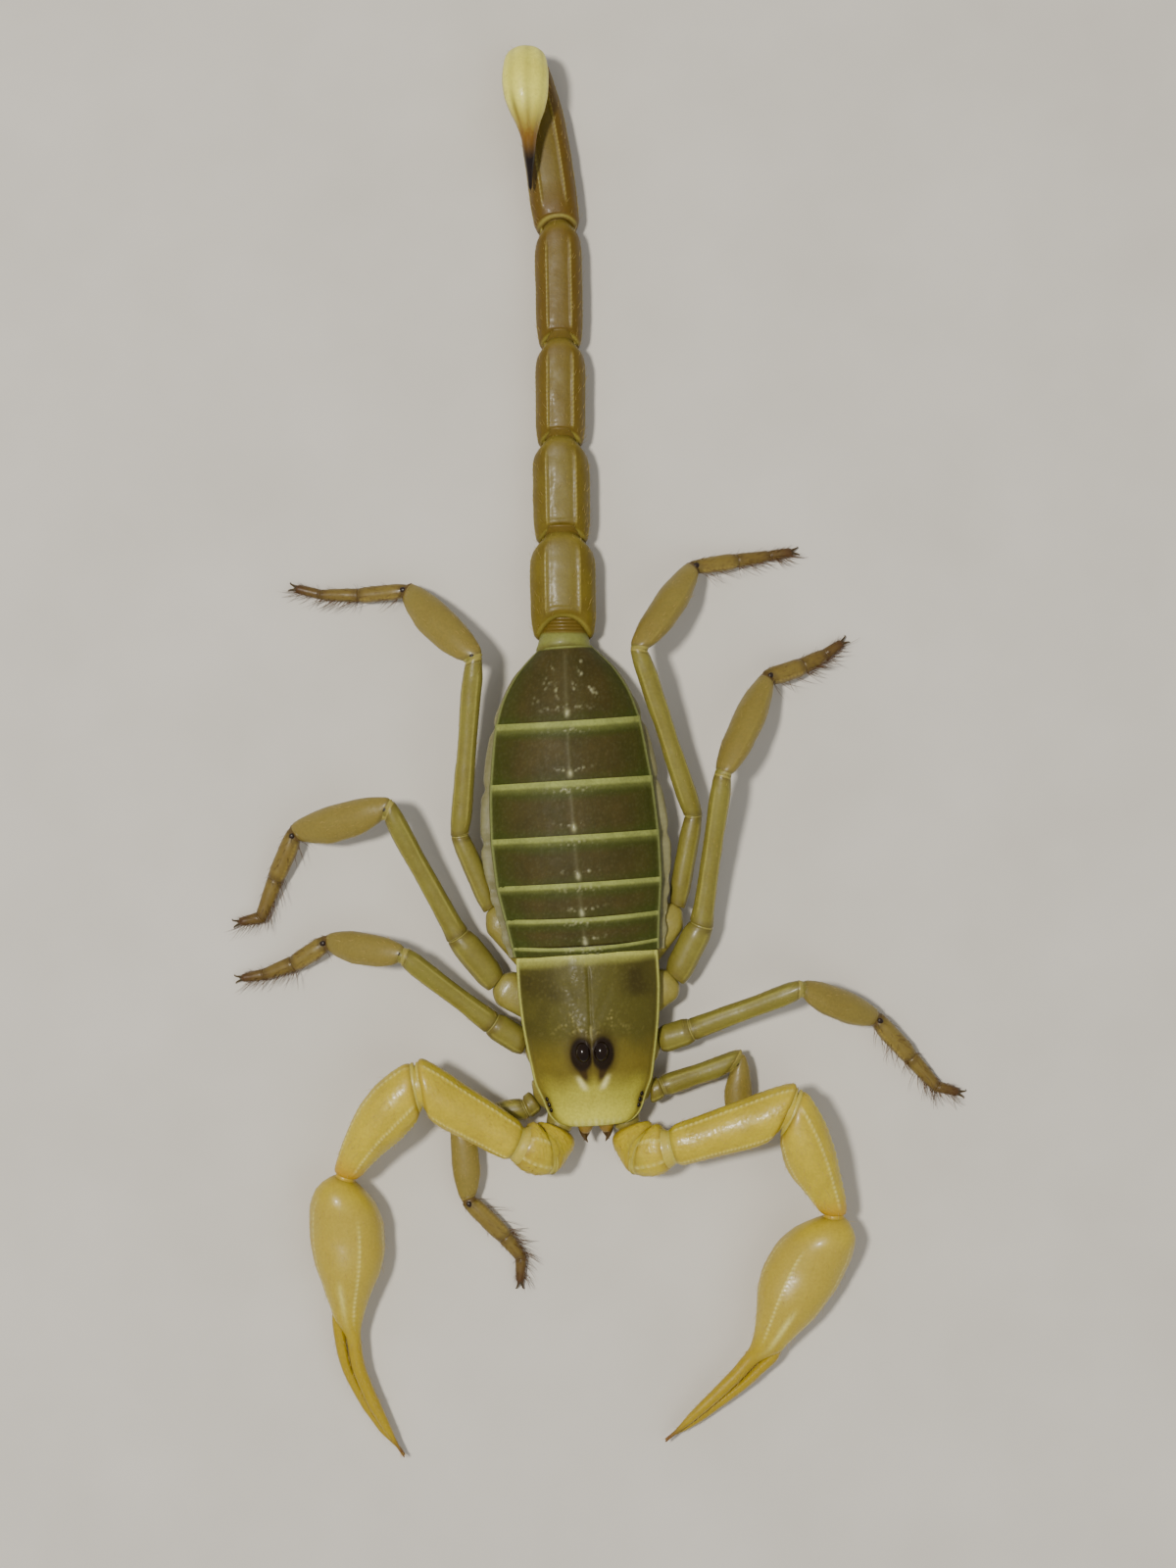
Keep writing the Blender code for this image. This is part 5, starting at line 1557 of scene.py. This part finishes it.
def make_tail(coat):
    start = WAIST + np.array((0.0, 15.0, 0.0))
    before = None
    for number, looks in enumerate(TAIL_LOOKS, 1):
        loops = node_loops(f"tail_{number}", start)
        start = loops[-1].mean(axis=0)
        loft = Loft.from_loops(loops, straight=number < 5)
        body = tail_surface(loft, number, *looks)
        soft = bridge(before, loft, 0.5, 1.1, 0.965, 64, 0.012) if before else waist_dome(loft.centres[0])
        dress(f"tail_{number}", [body, hinge_knob(loft, 38), hinge_knob(loft, 142), soft], "tail")
        coat.over(body, 150, **TAIL_HAIRS)
        before = loft


def make_telson(coat):
    loops = node_loops("telson", STING_ROOT)
    if loops[0].mean(axis=0)[1] < loops[-1].mean(axis=0)[1]:
        loops = loops[::-1]
    loops = np.concatenate([loops[:1] - UP * NECK_ROOT, loops])
    loft = Loft.from_loops(loops, straight=False, side=np.array((1.0, 0.0, 0.0)))
    neck = loft.arc[2]
    places = np.linspace(0, loft.length, 150)
    share = np.clip((places - neck) / (loft.length - neck), 0, 1)[:, None]
    sizes = (1 - 0.62 * ease(0.72, 1.0, share)) * (1 - 0.9 * ease(0.97, 1.0, share))
    points, angles = loft.surface(places, 96, 2.0, sizes)
    normals = facing(points)
    bulb = ease(0.04, 0.12, share) * ease(0.72, 0.6, share)
    stripe = bulb * np.max([bell(turned(angles, turn), 0.17) for turn in range(-129, 187, 45)], axis=0)
    lift = 0.012 * pebbles(points, 0.22) * bulb - 0.02 * stripe
    points = points + normals * lift[..., None]
    warm = np.maximum(ease(0.36, 0.66, share), 0.5 * ease(0.05, 0.0, share))
    marks = {"stripe": 0.9 * stripe * (0.55 + 0.45 * swell(points, 1.6, seed=61)), "warm": warm,
             "tip": ease(0.62, 0.8, share)}
    dress("telson", [(points, marks)], "telson", ending="vesicle")
    coat.over((points, marks, places, angles), 120, where=lambda shares, _: shares < 0.65, **STING_HAIRS)


# Stage


def make_stage():
    stage = Shader("stage_floor")
    stage.main.inputs["Roughness"].default_value = 0.85
    shade = stage.spread(stage.noise(9.0, 3.0), 0.3, 0.7)
    colour = stage.mix(shade, linear((214, 208, 196)), linear((206, 200, 188)))
    stage.join(colour, stage.main.inputs["Base Color"])
    bpy.ops.mesh.primitive_plane_add(size=1.6, location=(0, 0, -0.02 * MM))
    floor = bpy.context.object
    floor.name = "floor"
    floor.data.materials.append(stage.material)


def make_light(name, place, size, power, colour, glints=True):
    """A round lamp that shines at the animal's middle."""
    data = bpy.data.lights.new(name, "AREA")
    data.shape = "DISK"
    data.size = size * MM
    data.energy = power
    data.color = colour
    light = bpy.data.objects.new(name, data)
    bpy.context.collection.objects.link(light)
    light.location = np.array(place) * MM
    back = unit(np.array(place, float))
    side = unit(np.cross((0.0, 1.0, 0.0), back))
    turn = np.stack([side, np.cross(back, side), back], axis=1)
    light.rotation_euler = mathutils.Matrix(turn.tolist()).to_euler()
    light.visible_glossy = glints


def make_camera():
    data = bpy.data.cameras.new("camera")
    data.lens = CAMERA_LENS
    data.sensor_width = 36.0
    data.clip_start = 0.001
    data.clip_end = 20.0
    camera = bpy.data.objects.new("camera", data)
    bpy.context.collection.objects.link(camera)
    camera.location = (CAMERA_PLACE[0] * MM, CAMERA_PLACE[1] * MM, CAMERA_HEIGHT * MM)
    bpy.context.scene.camera = camera


def make_world():
    world = bpy.data.worlds.new("studio")
    bpy.context.scene.world = world
    world.use_nodes = True
    sky = world.node_tree.nodes["Background"].inputs
    sky["Color"].default_value = (0.94, 0.96, 1.0, 1.0)
    sky["Strength"].default_value = 0.36


make_camera()
make_world()
make_stage()
make_light("key", (-95, 20, 330), 36, 1.05, (1.0, 0.97, 0.91))
make_light("fill", (150, -120, 260), 260, 0.2, (1.0, 1.0, 1.0), glints=False)
for number in range(1, 8):
    make_tergite(number)
make_carapace()
make_body_skin()
make_chest()
for side, sign in SIDES.items():
    make_pectine(side, sign)
    make_chelicera(side, sign)
    make_pedipalp(side)
make_legs()
tail_coat = Coat("tail_hairs", "hair", "tail", 6)
make_tail(tail_coat)
make_telson(tail_coat)
tail_coat.finish()
